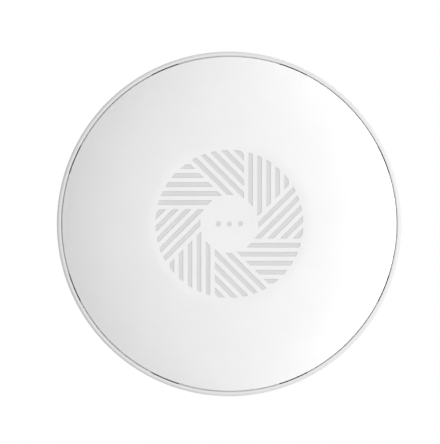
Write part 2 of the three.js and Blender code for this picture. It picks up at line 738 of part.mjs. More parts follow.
// Pressed-metal can round the socket, open underneath.
function jackShell() {
  const { width, height, shell } = JACK;
  const foot = boardTopZ + SOLDER;
  const outside = block([-width / 2, jackFrontY, foot], [width / 2, jackBackY, boardTopZ + height]);
  const inside = block(
    [-width / 2 + shell, jackFrontY + shell, foot - 1],
    [width / 2 - shell, jackBackY - shell, boardTopZ + height - shell],
  );
  return outside.subtract(inside).subtract(mouth(FIT_GAP, jackFrontY - 1, jackFrontY + 1));
}

// Moulded block inside the can, hollow behind the mouth.
function jackInsert() {
  const inset = JACK.shell + FIT_GAP / 2;
  const solid = block(
    [-JACK.width / 2 + inset, jackFrontY + inset, boardTopZ + SOLDER],
    [JACK.width / 2 - inset, jackBackY - inset, boardTopZ + JACK.height - inset],
  );
  return solid.subtract(mouth(0, jackFrontY - 1, jackFrontY + MOUTH.depth));
}

// One sprung wire, from the back of the cavity forward and up.
function jackContact(index) {
  const x = (index - (CONTACTS - 1) / 2) * CONTACT.pitch;
  const back = jackFrontY + MOUTH.depth - 0.1;
  const low = mouthZ + 0.15;
  const thick = CONTACT.foot;
  const front = back - 8;
  const shape = new THREE.Shape();
  shape.moveTo(back, low);
  shape.lineTo(back, low + thick);
  shape.lineTo(back - 1.5, low + thick);
  shape.lineTo(front, low + CONTACT.rise);
  shape.lineTo(front - 0.8, low + CONTACT.rise - 0.5);
  shape.lineTo(front - 0.5, low + CONTACT.rise - 0.8);
  shape.lineTo(front, low + CONTACT.rise - thick - 0.1);
  shape.lineTo(back - 1.6, low);
  const wire = new THREE.ExtrudeGeometry(shape, { depth: CONTACT.width, bevelEnabled: false });
  // The outline is drawn in (y, z): turning it stands it up in the YZ plane.
  wire.applyMatrix4(new THREE.Matrix4().makeBasis(
    new THREE.Vector3(0, 1, 0),
    new THREE.Vector3(0, 0, 1),
    new THREE.Vector3(1, 0, 0),
  ));
  return solidOf(wire.translate(x - CONTACT.width / 2, 0, 0));
}

// ---- Reset switch -------------------------------------------------------------------------------

const plungerFrontY = wallBehindY + 0.4;
const switchFrontY = plungerFrontY + 1.1;
const plungerLength = 2.3;

function resetSwitch() {
  const foot = boardTopZ + SOLDER;
  const body = block(
    [RESET.x - SWITCH.width / 2, switchFrontY, foot],
    [RESET.x + SWITCH.width / 2, switchFrontY + SWITCH.depth, foot + SWITCH.height],
  );
  const boreEnd = plungerFrontY + plungerLength + RESET.travel + FIT_GAP;
  const bore = barrel(RESET.plunger + FIT_GAP, switchFrontY - 1, boreEnd, RESET.x, boardTopZ + RESET.z);
  return body.subtract(bore);
}

function resetPlunger() {
  const end = plungerFrontY + plungerLength;
  return barrel(RESET.plunger, plungerFrontY, end, RESET.x, boardTopZ + RESET.z);
}

// ---- The assembly -------------------------------------------------------------------------------

const finishes = {
  whitePlastic: { color: 0xf2f2f2, roughness: 0.45, metalness: 0 },
  casingPlastic: { color: 0xeeeeee, roughness: 0.5, metalness: 0 },
  diffuserPlastic: { color: 0xdcdcdc, roughness: 0.5, metalness: 0 },
  bracketPlastic: { color: 0xe6e6e6, roughness: 0.55, metalness: 0 },
  reflectorPlastic: { color: 0xfafafa, roughness: 0.3, metalness: 0 },
  boardGreen: { color: 0x1d5b3a, roughness: 0.45, metalness: 0 },
  tinnedSteel: { color: 0xc2c4c6, roughness: 0.3, metalness: 1 },
  aluminium: { color: 0xb8babd, roughness: 0.4, metalness: 1 },
  darkPlastic: { color: 0x1b1b1d, roughness: 0.5, metalness: 0 },
  contactGold: { color: 0xd8ab4c, roughness: 0.25, metalness: 1 },
  thermalGrey: { color: 0x8f979e, roughness: 0.8, metalness: 0 },
  ledLens: { color: 0xf4f0dc, roughness: 0.2, metalness: 0 },
  screwSteel: { color: 0x9fa1a4, roughness: 0.35, metalness: 1 },
  labelPaper: { color: 0xf7f7f5, roughness: 0.7, metalness: 0 },
};

const accessPoint = new THREE.Group();

function piece(name, solid, finish) {
  const mesh = new THREE.Mesh(geometryOf(solid), new THREE.MeshStandardMaterial(finishes[finish]));
  mesh.name = name;
  accessPoint.add(mesh);
}

piece("mounting_bracket", mountingBracket(), "bracketPlastic");
piece("detent_finger", detentFinger(), "bracketPlastic");

piece("rear_casing", rearCasing(), "casingPlastic");
piece("front_cover", frontCover(), "whitePlastic");
piece("light_diffuser", lightDiffuser(), "diffuserPlastic");
piece("light_reflector", lightReflector(), "reflectorPlastic");
piece("rating_label", ratingLabel(), "labelPaper");

piece("main_board", mainBoard(), "boardGreen");
boardScrewPlaces.forEach((place, i) => piece(`board_screw_${i + 1}`, boardScrew(place), "screwSteel"));
range(4, (i) => piece(`status_led_${i + 1}`, statusLed(45 + 90 * i), "ledLens"));
range(4, (i) => piece(`aerial_${i + 1}`, aerial(90 * i), "tinnedSteel"));

piece("processor_chip", onBoard(14, 14, 1.3, SOC.x + 8, SOC.y), "darkPlastic");
piece("memory_chip", onBoard(9, 13, 1, SOC.x - 9, SOC.y + 7), "darkPlastic");
piece("flash_chip", onBoard(6, 8, 0.9, SOC.x - 9, SOC.y - 9), "darkPlastic");
piece("processor_shield", shieldCan(SOC), "tinnedSteel");
piece("thermal_pad", thermalPad(), "thermalGrey");
piece("heat_sink", heatSink(), "aluminium");
[["2g", -1], ["5g", 1]].forEach(([band, side]) => {
  const place = { ...RADIO, x: side * RADIO.x };
  piece(`radio_chip_${band}`, onBoard(9, 9, 0.9, place.x, place.y), "darkPlastic");
  piece(`radio_shield_${band}`, shieldCan(place), "tinnedSteel");
});

piece("power_transformer", onBoard(15, 15, 8.5, 32, 18, 1.5), "darkPlastic");
piece("power_inductor", onBoard(10, 10, 4.5, 50, 2, 2), "darkPlastic");
piece("power_controller_chip", onBoard(6, 6, 0.9, 36, 4), "darkPlastic");
piece("ethernet_transformer", onBoard(16, 12, 5.6, 0, 44), "darkPlastic");
piece("capacitor_1", capacitor(50, 18), "aluminium");
piece("capacitor_2", capacitor(34, -12), "aluminium");

piece("jack_shell", jackShell(), "tinnedSteel");
piece("jack_insert", jackInsert(), "darkPlastic");
range(CONTACTS, (i) => piece(`jack_contact_${i + 1}`, jackContact(i), "contactGold"));

piece("reset_switch", resetSwitch(), "darkPlastic");
piece("reset_plunger", resetPlunger(), "darkPlastic");

export default accessPoint;
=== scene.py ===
import json
import math

import bmesh
import bpy
from mathutils import Matrix, Vector

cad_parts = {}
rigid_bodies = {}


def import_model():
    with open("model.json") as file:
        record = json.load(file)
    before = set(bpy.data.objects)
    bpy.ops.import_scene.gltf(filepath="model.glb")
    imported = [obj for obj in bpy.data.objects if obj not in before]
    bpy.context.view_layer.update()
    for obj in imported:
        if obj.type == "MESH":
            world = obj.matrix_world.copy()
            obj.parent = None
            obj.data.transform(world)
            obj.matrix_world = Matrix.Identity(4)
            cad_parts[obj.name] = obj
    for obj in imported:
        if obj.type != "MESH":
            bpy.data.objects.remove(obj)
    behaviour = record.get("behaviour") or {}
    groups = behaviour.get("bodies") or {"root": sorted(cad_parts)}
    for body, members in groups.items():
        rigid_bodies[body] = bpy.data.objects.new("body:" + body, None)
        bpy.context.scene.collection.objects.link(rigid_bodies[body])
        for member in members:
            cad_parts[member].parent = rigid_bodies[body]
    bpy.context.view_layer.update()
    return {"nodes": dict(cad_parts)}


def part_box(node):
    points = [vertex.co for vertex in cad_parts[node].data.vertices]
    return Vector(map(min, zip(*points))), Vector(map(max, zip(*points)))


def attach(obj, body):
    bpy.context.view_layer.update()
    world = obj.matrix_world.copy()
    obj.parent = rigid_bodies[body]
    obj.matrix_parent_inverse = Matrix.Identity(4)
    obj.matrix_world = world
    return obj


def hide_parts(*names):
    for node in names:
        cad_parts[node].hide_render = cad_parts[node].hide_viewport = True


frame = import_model()


# ---- Ceiling bracket ----------------------------------------------------------------------------
# A flat moulded dish that is screwed to the ceiling with its open side up. A rim, a centre pad, four
# screw bosses and a collar round the cable window touch the ceiling. Four lugs on its edge carry the
# unit. It is injection moulded in off-white plastic, with thin stiffening ribs in the dish.

BRACKET_RADIUS = 52.0
BRACKET_DEPTH = 4.6
BRACKET_PLATE = 2.4
BRACKET_RIM = 2.0
CABLE_WINDOW = (40.0, 26.0)
WINDOW_MIDDLE = -21.0
COLLAR_WALL = 2.0
PAD_RADIUS = 8.0
SCREW_CIRCLE = BRACKET_RADIUS - 9.6
BOSS_RADIUS = 6.6
LUG_TIP_RADIUS = 55.6
LUG_ROOT_RADIUS = 50.2
LUG_TOP = -3.0
LUG_HALF_ANGLE = 10
RIB_THICKNESS = 1.2
FINGER_INNER = 42.5
FINGER_OUTER = 48.5
FINGER_START = 162
FINGER_SWEEP = 38
FINGER_GAP = 0.9
LOCK_MARK = 30.0  # angle of the line that the casing's marks are turned to
SOFT_EDGE = 0.3  # usual rounding of a moulded edge
CUT_LOW, CUT_HIGH = -6.0, 2.0  # heights that a cutter for the bracket runs between


def turned(outline, steps=192, start=0.0, sweep=360.0):
    """Spins a closed outline of (radius, height) points about Z, all the way round or part of it."""
    bm = bmesh.new()
    corners = [bm.verts.new((radius, 0, height)) for radius, height in outline]
    sides = [bm.edges.new(pair) for pair in zip(corners, corners[1:] + corners[:1])]
    whole = sweep >= 360
    section = [] if whole else [bm.faces.new(corners)]
    bmesh.ops.rotate(bm, verts=corners, matrix=Matrix.Rotation(math.radians(start), 3, "Z"))
    bmesh.ops.spin(
        bm,
        geom=corners + sides + section,
        cent=(0, 0, 0),
        axis=(0, 0, 1),
        angle=math.radians(sweep),
        steps=steps,
        use_merge=whole,
    )
    bmesh.ops.remove_doubles(bm, verts=bm.verts, dist=1e-4)
    bmesh.ops.dissolve_degenerate(bm, edges=bm.edges, dist=1e-5)
    bmesh.ops.recalc_face_normals(bm, faces=bm.faces)
    return bm


def soften(bm, edges, width, segments=2):
    bmesh.ops.bevel(
        bm,
        geom=edges,
        offset=width,
        offset_type="OFFSET",
        affect="EDGES",
        segments=segments,
        profile=0.5,
        material=-1,
        clamp_overlap=True,
    )


def is_upright(edge):
    low, high = sorted(edge.verts, key=lambda corner: corner.co.z)
    run = high.co - low.co
    return run.z > 0.99 * run.length


def block(low, high, corner=0.0, edge=0.0, corner_segments=6):
    """A box from one corner to the other, its upright edges rounded by corner and the rest by edge."""
    bm = bmesh.new()
    bmesh.ops.create_cube(bm, size=1)
    low, high = Vector(low), Vector(high)
    bmesh.ops.scale(bm, vec=high - low, verts=bm.verts)
    bmesh.ops.translate(bm, vec=(low + high) / 2, verts=bm.verts)
    if corner:
        soften(bm, [e for e in bm.edges if is_upright(e)], corner, corner_segments)
    if edge:
        soften(bm, [e for e in bm.edges if corner == 0 or not is_upright(e)], edge)
    return bm


def rod(radius, low, high, x=0.0, y=0.0, edge=0.0, segments=48):
    """An upright round bar with its two rims rounded by edge."""
    bm = bmesh.new()
    bmesh.ops.create_cone(
        bm,
        cap_ends=True,
        cap_tris=False,
        segments=segments,
        radius1=radius,
        radius2=radius,
        depth=high - low,
    )
    bmesh.ops.translate(bm, vec=(x, y, (low + high) / 2), verts=bm.verts)
    if edge:
        soften(bm, [e for e in bm.edges if not is_upright(e)], edge)
    return bm


def turn(bm, degrees):
    bmesh.ops.rotate(bm, verts=bm.verts, matrix=Matrix.Rotation(math.radians(degrees), 3, "Z"))
    return bm


def shift(bm, x=0.0, y=0.0, z=0.0):
    bmesh.ops.translate(bm, vec=(x, y, z), verts=bm.verts)
    return bm


def loose_object(bm, name="shape"):
    mesh = bpy.data.meshes.new(name)
    bm.to_mesh(mesh)
    bm.free()
    return bpy.data.objects.new(name, mesh)


def worked(base, tools, operation):
    """Joins the tool solids to the base solid (UNION) or cuts them out of it (DIFFERENCE)."""
    body = loose_object(base)
    rack = bpy.data.collections.new("rack")
    for tool in tools:
        rack.objects.link(loose_object(tool))
    bpy.context.scene.collection.objects.link(body)
    step = body.modifiers.new("work", "BOOLEAN")
    step.operation = operation
    step.operand_type = "COLLECTION"
    step.collection = rack
    step.solver = "MANIFOLD"
    depsgraph = bpy.context.evaluated_depsgraph_get()
    result = bmesh.new()
    result.from_object(body, depsgraph)
    bmesh.ops.remove_doubles(result, verts=result.verts, dist=1e-4)
    bmesh.ops.dissolve_degenerate(result, edges=result.edges, dist=1e-4)
    for spent in [body, *rack.objects]:
        bpy.data.meshes.remove(spent.data)
    bpy.data.collections.remove(rack)
    return result


def add_piece(bm, name, body, material, nodes, sharp=35.0):
    """Puts a finished solid, drawn in millimetres, into the model as one piece."""
    bmesh.ops.scale(bm, vec=(0.001, 0.001, 0.001), verts=bm.verts)
    piece = loose_object(bm, name)
    piece.data.shade_smooth()
    piece.data.set_sharp_from_angle(angle=math.radians(sharp))
    piece.data.materials.append(material)
    bpy.context.scene.collection.objects.link(piece)
    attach(piece, body)
    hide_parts(*nodes)


def link_up(material, source, socket, target, entry):
    material.node_tree.links.new(source.outputs[socket], target.inputs[entry])


def moulded(name, dark, light, roughness, grain=0.35, depth=0.012, cloud=18.0, glow=0.0):
    """Moulded plastic: a fine spark-eroded grain, and a faint cloudiness in colour and in gloss.
    grain is the grain's size and depth its height in millimetres; cloud is the cloud's size."""
    material = bpy.data.materials.new(name)
    material.use_nodes = True
    nodes = material.node_tree.nodes
    shader = nodes["Principled BSDF"]
    shader.inputs["Specular IOR Level"].default_value = 0.5
    shader.inputs["IOR"].default_value = 1.5
    if glow:
        shader.inputs["Subsurface Weight"].default_value = glow
        shader.inputs["Subsurface Radius"].default_value = (1.0, 0.95, 0.9)
        shader.inputs["Subsurface Scale"].default_value = 0.0015
    place = nodes.new("ShaderNodeTexCoord")
    clouds = nodes.new("ShaderNodeTexNoise")
    clouds.inputs["Scale"].default_value = 1000 / cloud
    clouds.inputs["Detail"].default_value = 3
    tones = nodes.new("ShaderNodeValToRGB")
    tones.color_ramp.elements[0].position = 0.3
    tones.color_ramp.elements[0].color = (*dark, 1)
    tones.color_ramp.elements[1].position = 0.7
    tones.color_ramp.elements[1].color = (*light, 1)
    gloss = nodes.new("ShaderNodeMapRange")
    gloss.inputs["To Min"].default_value = roughness - 0.04
    gloss.inputs["To Max"].default_value = roughness + 0.04
    grains = nodes.new("ShaderNodeTexNoise")
    grains.inputs["Scale"].default_value = 1000 / grain
    grains.inputs["Detail"].default_value = 2
    relief = nodes.new("ShaderNodeBump")
    relief.inputs["Strength"].default_value = 0.6
    relief.inputs["Distance"].default_value = depth / 1000
    link_up(material, place, "Object", clouds, "Vector")
    link_up(material, place, "Object", grains, "Vector")
    link_up(material, clouds, "Fac", tones, "Fac")
    link_up(material, tones, "Color", shader, "Base Color")
    link_up(material, clouds, "Fac", gloss, "Value")
    link_up(material, gloss, "Result", shader, "Roughness")
    link_up(material, grains, "Fac", relief, "Height")
    link_up(material, relief, "Normal", shader, "Normal")
    return material


bracket_plastic = moulded("bracket_plastic", (0.76, 0.76, 0.75), (0.79, 0.79, 0.785), 0.55)


def screw_places(circle):
    """The four places on a circle, half way between the axes."""
    return [
        (circle * math.cos(math.radians(a)), circle * math.sin(math.radians(a)), a)
        for a in (45, 135, 225, 315)
    ]


floor_height = -BRACKET_DEPTH + BRACKET_PLATE
bracket = turned(
    [
        (0, -BRACKET_DEPTH),
        (BRACKET_RADIUS - SOFT_EDGE, -BRACKET_DEPTH),
        (BRACKET_RADIUS, -BRACKET_DEPTH + SOFT_EDGE),
        (BRACKET_RADIUS, -SOFT_EDGE),
        (BRACKET_RADIUS - SOFT_EDGE, 0),
        (BRACKET_RADIUS - BRACKET_RIM + SOFT_EDGE, 0),
        (BRACKET_RADIUS - BRACKET_RIM, -SOFT_EDGE),
        (BRACKET_RADIUS - BRACKET_RIM, floor_height + SOFT_EDGE),
        (BRACKET_RADIUS - BRACKET_RIM - SOFT_EDGE, floor_height),
        (0, floor_height),
    ]
)
window_width, window_length = CABLE_WINDOW
window_near = WINDOW_MIDDLE - window_length / 2
window_far = WINDOW_MIDDLE + window_length / 2
stiffeners = [
    rod(PAD_RADIUS, floor_height - 1, 0, edge=SOFT_EDGE),
    block(
        (-window_width / 2 - COLLAR_WALL, window_near - COLLAR_WALL, floor_height - 1),
        (window_width / 2 + COLLAR_WALL, window_far + COLLAR_WALL, 0),
        corner=8,
        edge=SOFT_EDGE,
    ),
]
for x, y, _ in screw_places(SCREW_CIRCLE):
    stiffeners.append(rod(BOSS_RADIUS, floor_height - 1, 0, x, y, edge=SOFT_EDGE))
for angle in (0, 25, 65, 90, 115, 155, 335):
    half = RIB_THICKNESS / 2
    rib = block((PAD_RADIUS - 1, -half, floor_height - 0.5), (BRACKET_RADIUS - 1.4, half, -0.6), edge=0.2)
    stiffeners.append(turn(rib, angle))
for angle in (45, 135, 225, 315):
    stiffeners.append(
        turned(
            [
                (LUG_ROOT_RADIUS, -BRACKET_DEPTH),
                (LUG_TIP_RADIUS - SOFT_EDGE, -BRACKET_DEPTH),
                (LUG_TIP_RADIUS, -BRACKET_DEPTH + SOFT_EDGE),
                (LUG_TIP_RADIUS, LUG_TOP - SOFT_EDGE),
                (LUG_TIP_RADIUS - SOFT_EDGE, LUG_TOP),
                (LUG_ROOT_RADIUS, LUG_TOP),
            ],
            steps=23,
            start=angle - LUG_HALF_ANGLE,
            sweep=2 * LUG_HALF_ANGLE + 3,
        )
    )
    stiffeners.append(
        turned(
            [
                (LUG_ROOT_RADIUS, -4.2),
                (LUG_TIP_RADIUS, -4.2),
                (LUG_TIP_RADIUS, -1.3),
                (LUG_TIP_RADIUS - SOFT_EDGE, -1),
                (LUG_ROOT_RADIUS, -1),
            ],
            steps=3,
            start=angle + LUG_HALF_ANGLE + 0.5,
            sweep=2.5,
        )
    )
bracket = worked(bracket, stiffeners, "UNION")

openings = [
    block(
        (-window_width / 2, window_near, CUT_LOW),
        (window_width / 2, window_far, CUT_HIGH),
        corner=6,
    ),
    turned(
        [
            (FINGER_INNER - FINGER_GAP, CUT_LOW),
            (FINGER_OUTER + FINGER_GAP, CUT_LOW),
            (FINGER_OUTER + FINGER_GAP, CUT_HIGH),
            (FINGER_INNER - FINGER_GAP, CUT_HIGH),
        ],
        steps=FINGER_SWEEP + 2,
        start=FINGER_START - 0.4,
        sweep=FINGER_SWEEP + 2,
    ),
]
for x, y, angle in screw_places(SCREW_CIRCLE):
    slot_cut = block((-4.2, -2, CUT_LOW), (4.2, 2, CUT_HIGH), corner=1.98)
    openings.append(shift(turn(slot_cut, angle), x, y))
    openings.append(rod(4.7, CUT_LOW, -3.4, x, y))
openings.append(turn(block((50.3, -0.4, -0.3), (51.7, 0.4, 1)), LOCK_MARK))
bracket = worked(bracket, openings, "DIFFERENCE")
add_piece(
    bracket, "ceiling_bracket", "bracket", bracket_plastic, ["mounting_bracket"]
)


# ---- Detent finger ------------------------------------------------------------------------------
# A springy tongue moulded into the bracket's dish. A nib at its free end rides up a ramp in the
# casing as the unit is turned, and drops off its end with a click when the unit is home.

FINGER_EDGE = 0.2
FINGER_TOP = -3.0
ROOT_TOP = -2.2
NIB_LOW = -6.6
NIB_SWEEP = 4
NIB_START = FINGER_START + FINGER_SWEEP - NIB_SWEEP
finger = turned(
    [
        (FINGER_INNER, -BRACKET_DEPTH),
        (FINGER_OUTER - FINGER_EDGE, -BRACKET_DEPTH),
        (FINGER_OUTER, -BRACKET_DEPTH + FINGER_EDGE),
        (FINGER_OUTER, FINGER_TOP - FINGER_EDGE),
        (FINGER_OUTER - FINGER_EDGE, FINGER_TOP),
        (FINGER_INNER + FINGER_EDGE, FINGER_TOP),
        (FINGER_INNER, FINGER_TOP - FINGER_EDGE),
    ],
    steps=FINGER_SWEEP,
    start=FINGER_START,
    sweep=FINGER_SWEEP,
)
finger_ends = [
    turned(
        [
            (FINGER_INNER, -BRACKET_DEPTH),
            (FINGER_OUTER, -BRACKET_DEPTH),
            (FINGER_OUTER, ROOT_TOP - FINGER_EDGE),
            (FINGER_OUTER - FINGER_EDGE, ROOT_TOP),
            (FINGER_INNER + FINGER_EDGE, ROOT_TOP),
            (FINGER_INNER, ROOT_TOP - FINGER_EDGE),
        ],
        steps=4,
        start=FINGER_START,
        sweep=4,
    ),
    turned(
        [
            (FINGER_INNER + 1, NIB_LOW + 0.4),
            (FINGER_INNER + 1.4, NIB_LOW),
            (FINGER_OUTER - 1.4, NIB_LOW),
            (FINGER_OUTER - 1, NIB_LOW + 0.4),
            (FINGER_OUTER - 1, FINGER_TOP - 0.6),
            (FINGER_INNER + 1, FINGER_TOP - 0.6),
        ],
        steps=4,
        start=NIB_START,
        sweep=NIB_SWEEP,
    ),
]
finger = worked(finger, finger_ends, "UNION")
add_piece(finger, "springy_finger", "finger", bracket_plastic, ["detent_finger"])


# ---- Rear casing --------------------------------------------------------------------------------
# A deep moulded bowl, open towards the room. Its back has a round recess for the bracket, with four
# inward lugs, and in the recess a deep pocket for the cable and plug. Slots in the back let warm air
# out, and two pointers mark locked and free. Its edge shows as a bright rim round the cover.

BODY_RADIUS = 86.0
RIM_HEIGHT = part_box("rear_casing")[0][2] * 1000
RIM_INNER = BODY_RADIUS - 2.1
RIM_ROUND = 1.7
BACK_HEIGHT = -1.0
BACK_RADIUS = 75.0
RECESS_RADIUS = 56.4
RECESS_FLOOR = -8.2
CASING_WALL = 2.0
LEDGE_HEIGHT = RIM_HEIGHT + 1.9
LEDGE_RADIUS = 81.75
STEP_RADIUS = RIM_INNER - 0.45
POST_CIRCLE = RECESS_RADIUS - 4.1
POST_RADIUS = 3.6
PILOT_RADIUS = 1.45
LUG_REACH = 52.8
LUG_LOW = -2.8
POCKET_HALF_WIDTH = 15.2
POCKET_NEAR, POCKET_FAR = -32.0, 11.0
POCKET_FLOOR = -22.4
POCKET_CORNER = 3.0
POCKET_WALL = 1.8
SOCKET_HALF_WIDTH = 8.3
LABEL_HALF_WIDTH = 20.2
LABEL_NEAR, LABEL_FAR = 25.8, 42.2
HOOKS = 8
HOOK_FIRST = 22.5  # angle of the first hook, half a step off the axis
WINDOW_HALF_ANGLE = 5  # of the ledge's windows, and of the catches behind them
WINDOW_LOW, WINDOW_HIGH = -30.7, -27.0
CATCH_LOW, CATCH_HIGH = -24.65, -22.65
VENTS_IN_GROUP = 7
VENT_INNER, VENT_OUTER = 60.8, 72.6
VENT_STEP = 5  # angle between two slots
TWIST = 24.0  # angle from locked to free
POINTER_TIP = 57.8

casing_plastic = moulded("casing_plastic", (0.85, 0.85, 0.85), (0.87, 0.87, 0.87), 0.46)


def arc_points(centre, radius, first, last, count):
    """Points of a rounding in an outline, from one angle to another."""
    angles = [math.radians(first + (last - first) * i / (count - 1)) for i in range(count)]
    return [(centre[0] + radius * math.cos(a), centre[1] + radius * math.sin(a)) for a in angles]


def side_curve(inset, count=22):
    """The bowl's side from above the rim to the back, as a smooth curve inset from the outside."""
    low = Vector((BODY_RADIUS - inset, RIM_HEIGHT + 6))
    high = Vector((BACK_RADIUS - inset / 2, BACK_HEIGHT - inset))
    low_pull = Vector((low.x, low.y + 0.55 * (high.y - low.y)))
    high_pull = Vector((high.x + 6.6, high.y))
    points = []
    for i in range(count):
        t = i / (count - 1)
        spot = (
            low * (1 - t) ** 3
            + low_pull * 3 * t * (1 - t) ** 2
            + high_pull * 3 * t * t * (1 - t)
            + high * t**3
        )
        points.append((spot.x, spot.y))
    return points


inner_ceiling = RECESS_FLOOR - CASING_WALL
recess_outside = RECESS_RADIUS + CASING_WALL
casing = turned(
    [
        (0, inner_ceiling),
        (recess_outside, inner_ceiling),
        (recess_outside, BACK_HEIGHT - CASING_WALL),
        *reversed(side_curve(CASING_WALL)),
        (BODY_RADIUS - CASING_WALL, LEDGE_HEIGHT + 1.6),
        (LEDGE_RADIUS, LEDGE_HEIGHT + 1.6),
        (LEDGE_RADIUS, LEDGE_HEIGHT),
        (STEP_RADIUS, LEDGE_HEIGHT),
        (STEP_RADIUS, LEDGE_HEIGHT - 0.45),
        (RIM_INNER - 0.3, LEDGE_HEIGHT - 0.6),
        (RIM_INNER, LEDGE_HEIGHT - 0.6),
        *arc_points((RIM_INNER + 0.15, RIM_HEIGHT + 0.15), 0.15, 180, 270, 3),
        *arc_points((BODY_RADIUS - RIM_ROUND, RIM_HEIGHT + RIM_ROUND), RIM_ROUND, 270, 360, 12),
        *side_curve(0),
        *arc_points((RECESS_RADIUS + 0.5, BACK_HEIGHT - 0.5), 0.5, 90, 180, 5),
        *arc_points((RECESS_RADIUS - 0.4, RECESS_FLOOR + 0.4), 0.4, 0, -90, 4),
        (0, RECESS_FLOOR),
    ],
    steps=256,
)

casing_parts = []
board_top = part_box("main_board")[1][2] * 1000
for step in range(HOOKS):
    middle = HOOK_FIRST + 45 * step
    catch = [
        (LEDGE_RADIUS, CATCH_LOW),
        (BODY_RADIUS - 1, CATCH_LOW),
        (BODY_RADIUS - 1, CATCH_HIGH),
        (LEDGE_RADIUS, CATCH_HIGH),
    ]
    casing_parts.append(
        turned(catch, steps=10, start=middle - WINDOW_HALF_ANGLE, sweep=2 * WINDOW_HALF_ANGLE)
    )
for step in range(4):
    middle = 45 + 90 * step
    lug = [
        (RECESS_RADIUS + 1, LUG_LOW),
        (RECESS_RADIUS + 1, BACK_HEIGHT),
        (LUG_REACH + SOFT_EDGE, BACK_HEIGHT),
        (LUG_REACH, BACK_HEIGHT - SOFT_EDGE),
        (LUG_REACH, LUG_LOW + SOFT_EDGE),
        (LUG_REACH + SOFT_EDGE, LUG_LOW),
    ]
    casing_parts.append(
        turned(lug, steps=20, start=middle - LUG_HALF_ANGLE, sweep=2 * LUG_HALF_ANGLE)
    )
for x, y, angle in screw_places(POST_CIRCLE):
    casing_parts.append(rod(POST_RADIUS, board_top + 0.2, inner_ceiling + 1, x, y))
    web = block((-0.6, -6.4, board_top + 4), (0.6, 6.4, inner_ceiling + 1))
    casing_parts.append(shift(turn(web, angle), x, y))
casing_parts.append(
    block(
        (-POCKET_HALF_WIDTH - POCKET_WALL, POCKET_NEAR - POCKET_WALL, POCKET_FLOOR - 1.5),
        (POCKET_HALF_WIDTH + POCKET_WALL, POCKET_FAR + POCKET_WALL, inner_ceiling + 1),
        corner=POCKET_CORNER + POCKET_WALL,
    )
)
casing = worked(casing, casing_parts, "UNION")


def flared_block(low, high, corner, flare):
    """A cutter with rounded corners whose top end spreads by flare, so that it leaves a chamfer."""
    shaft = block(low, high, corner=corner)
    middle = Vector(((low[0] + high[0]) / 2, (low[1] + high[1]) / 2, high[2]))
    faces = [f for f in shaft.faces if f.normal.z > 0.9]
    grown = bmesh.ops.extrude_face_region(shaft, geom=faces)["geom"]
    crown = [v for v in grown if isinstance(v, bmesh.types.BMVert)]
    bmesh.ops.delete(shaft, geom=faces, context="FACES_ONLY")
    width, length = high[0] - low[0], high[1] - low[1]
    spread = Matrix.Diagonal(((width + 2 * flare) / width, (length + 2 * flare) / length, 1, 1))
    bmesh.ops.translate(shaft, verts=crown, vec=(-middle.x, -middle.y, 0))
    bmesh.ops.transform(shaft, verts=crown, matrix=spread)
    bmesh.ops.translate(shaft, verts=crown, vec=(middle.x, middle.y, flare))
    bmesh.ops.recalc_face_normals(shaft, faces=shaft.faces)
    return shaft


cut_top = RECESS_FLOOR + 1.2
casing_cuts = [
    block(
        (-POCKET_HALF_WIDTH, POCKET_NEAR, POCKET_FLOOR),
        (POCKET_HALF_WIDTH, POCKET_FAR, cut_top),
        corner=POCKET_CORNER,
    ),
    block(
        (-SOCKET_HALF_WIDTH, POCKET_FAR, board_top - 1),
        (SOCKET_HALF_WIDTH, POCKET_FAR + 3, inner_ceiling - POCKET_WALL),
    ),
    block(
        (-LABEL_HALF_WIDTH, LABEL_NEAR, RECESS_FLOOR - 0.3),
        (LABEL_HALF_WIDTH, LABEL_FAR, cut_top),
        corner=2.2,
    ),
]
pinhole = rod(1, -2, 2, segments=24)
bmesh.ops.rotate(pinhole, verts=pinhole.verts, matrix=Matrix.Rotation(math.radians(90), 3, "X"))
casing_cuts.append(shift(pinhole, 11.5, POCKET_FAR + 1, board_top + 3.4))
window_inner, window_outer = LEDGE_RADIUS - 0.75, RIM_INNER + 0.3
window = [
    (window_inner, WINDOW_LOW),
    (window_outer, WINDOW_LOW),
    (window_outer, WINDOW_HIGH),
    (window_inner, WINDOW_HIGH),
]
for step in range(HOOKS):
    middle = HOOK_FIRST + 45 * step
    casing_cuts.append(
        turned(window, steps=10, start=middle - WINDOW_HALF_ANGLE, sweep=2 * WINDOW_HALF_ANGLE)
    )
for group in range(4):
    for step in range(VENTS_IN_GROUP):
        slot_cut = flared_block((VENT_INNER, -1, -5), (VENT_OUTER, 1, BACK_HEIGHT - 0.3), 0.98, 0.31)
        place = (step - (VENTS_IN_GROUP - 1) / 2) * VENT_STEP
        casing_cuts.append(turn(slot_cut, 90 * group + place))
for x, y, _ in screw_places(POST_CIRCLE):
    casing_cuts.append(rod(PILOT_RADIUS, board_top - 1, -17.1, x, y, segments=24))
for angle, size in ((LOCK_MARK, 2.8), (LOCK_MARK + TWIST, 2.0)):
    pointer = rod(size, BACK_HEIGHT - 1.2, BACK_HEIGHT + 1, 0, -POINTER_TIP - size, segments=3)
    casing_cuts.append(turn(pointer, angle + 90))
casing = worked(casing, casing_cuts, "DIFFERENCE")

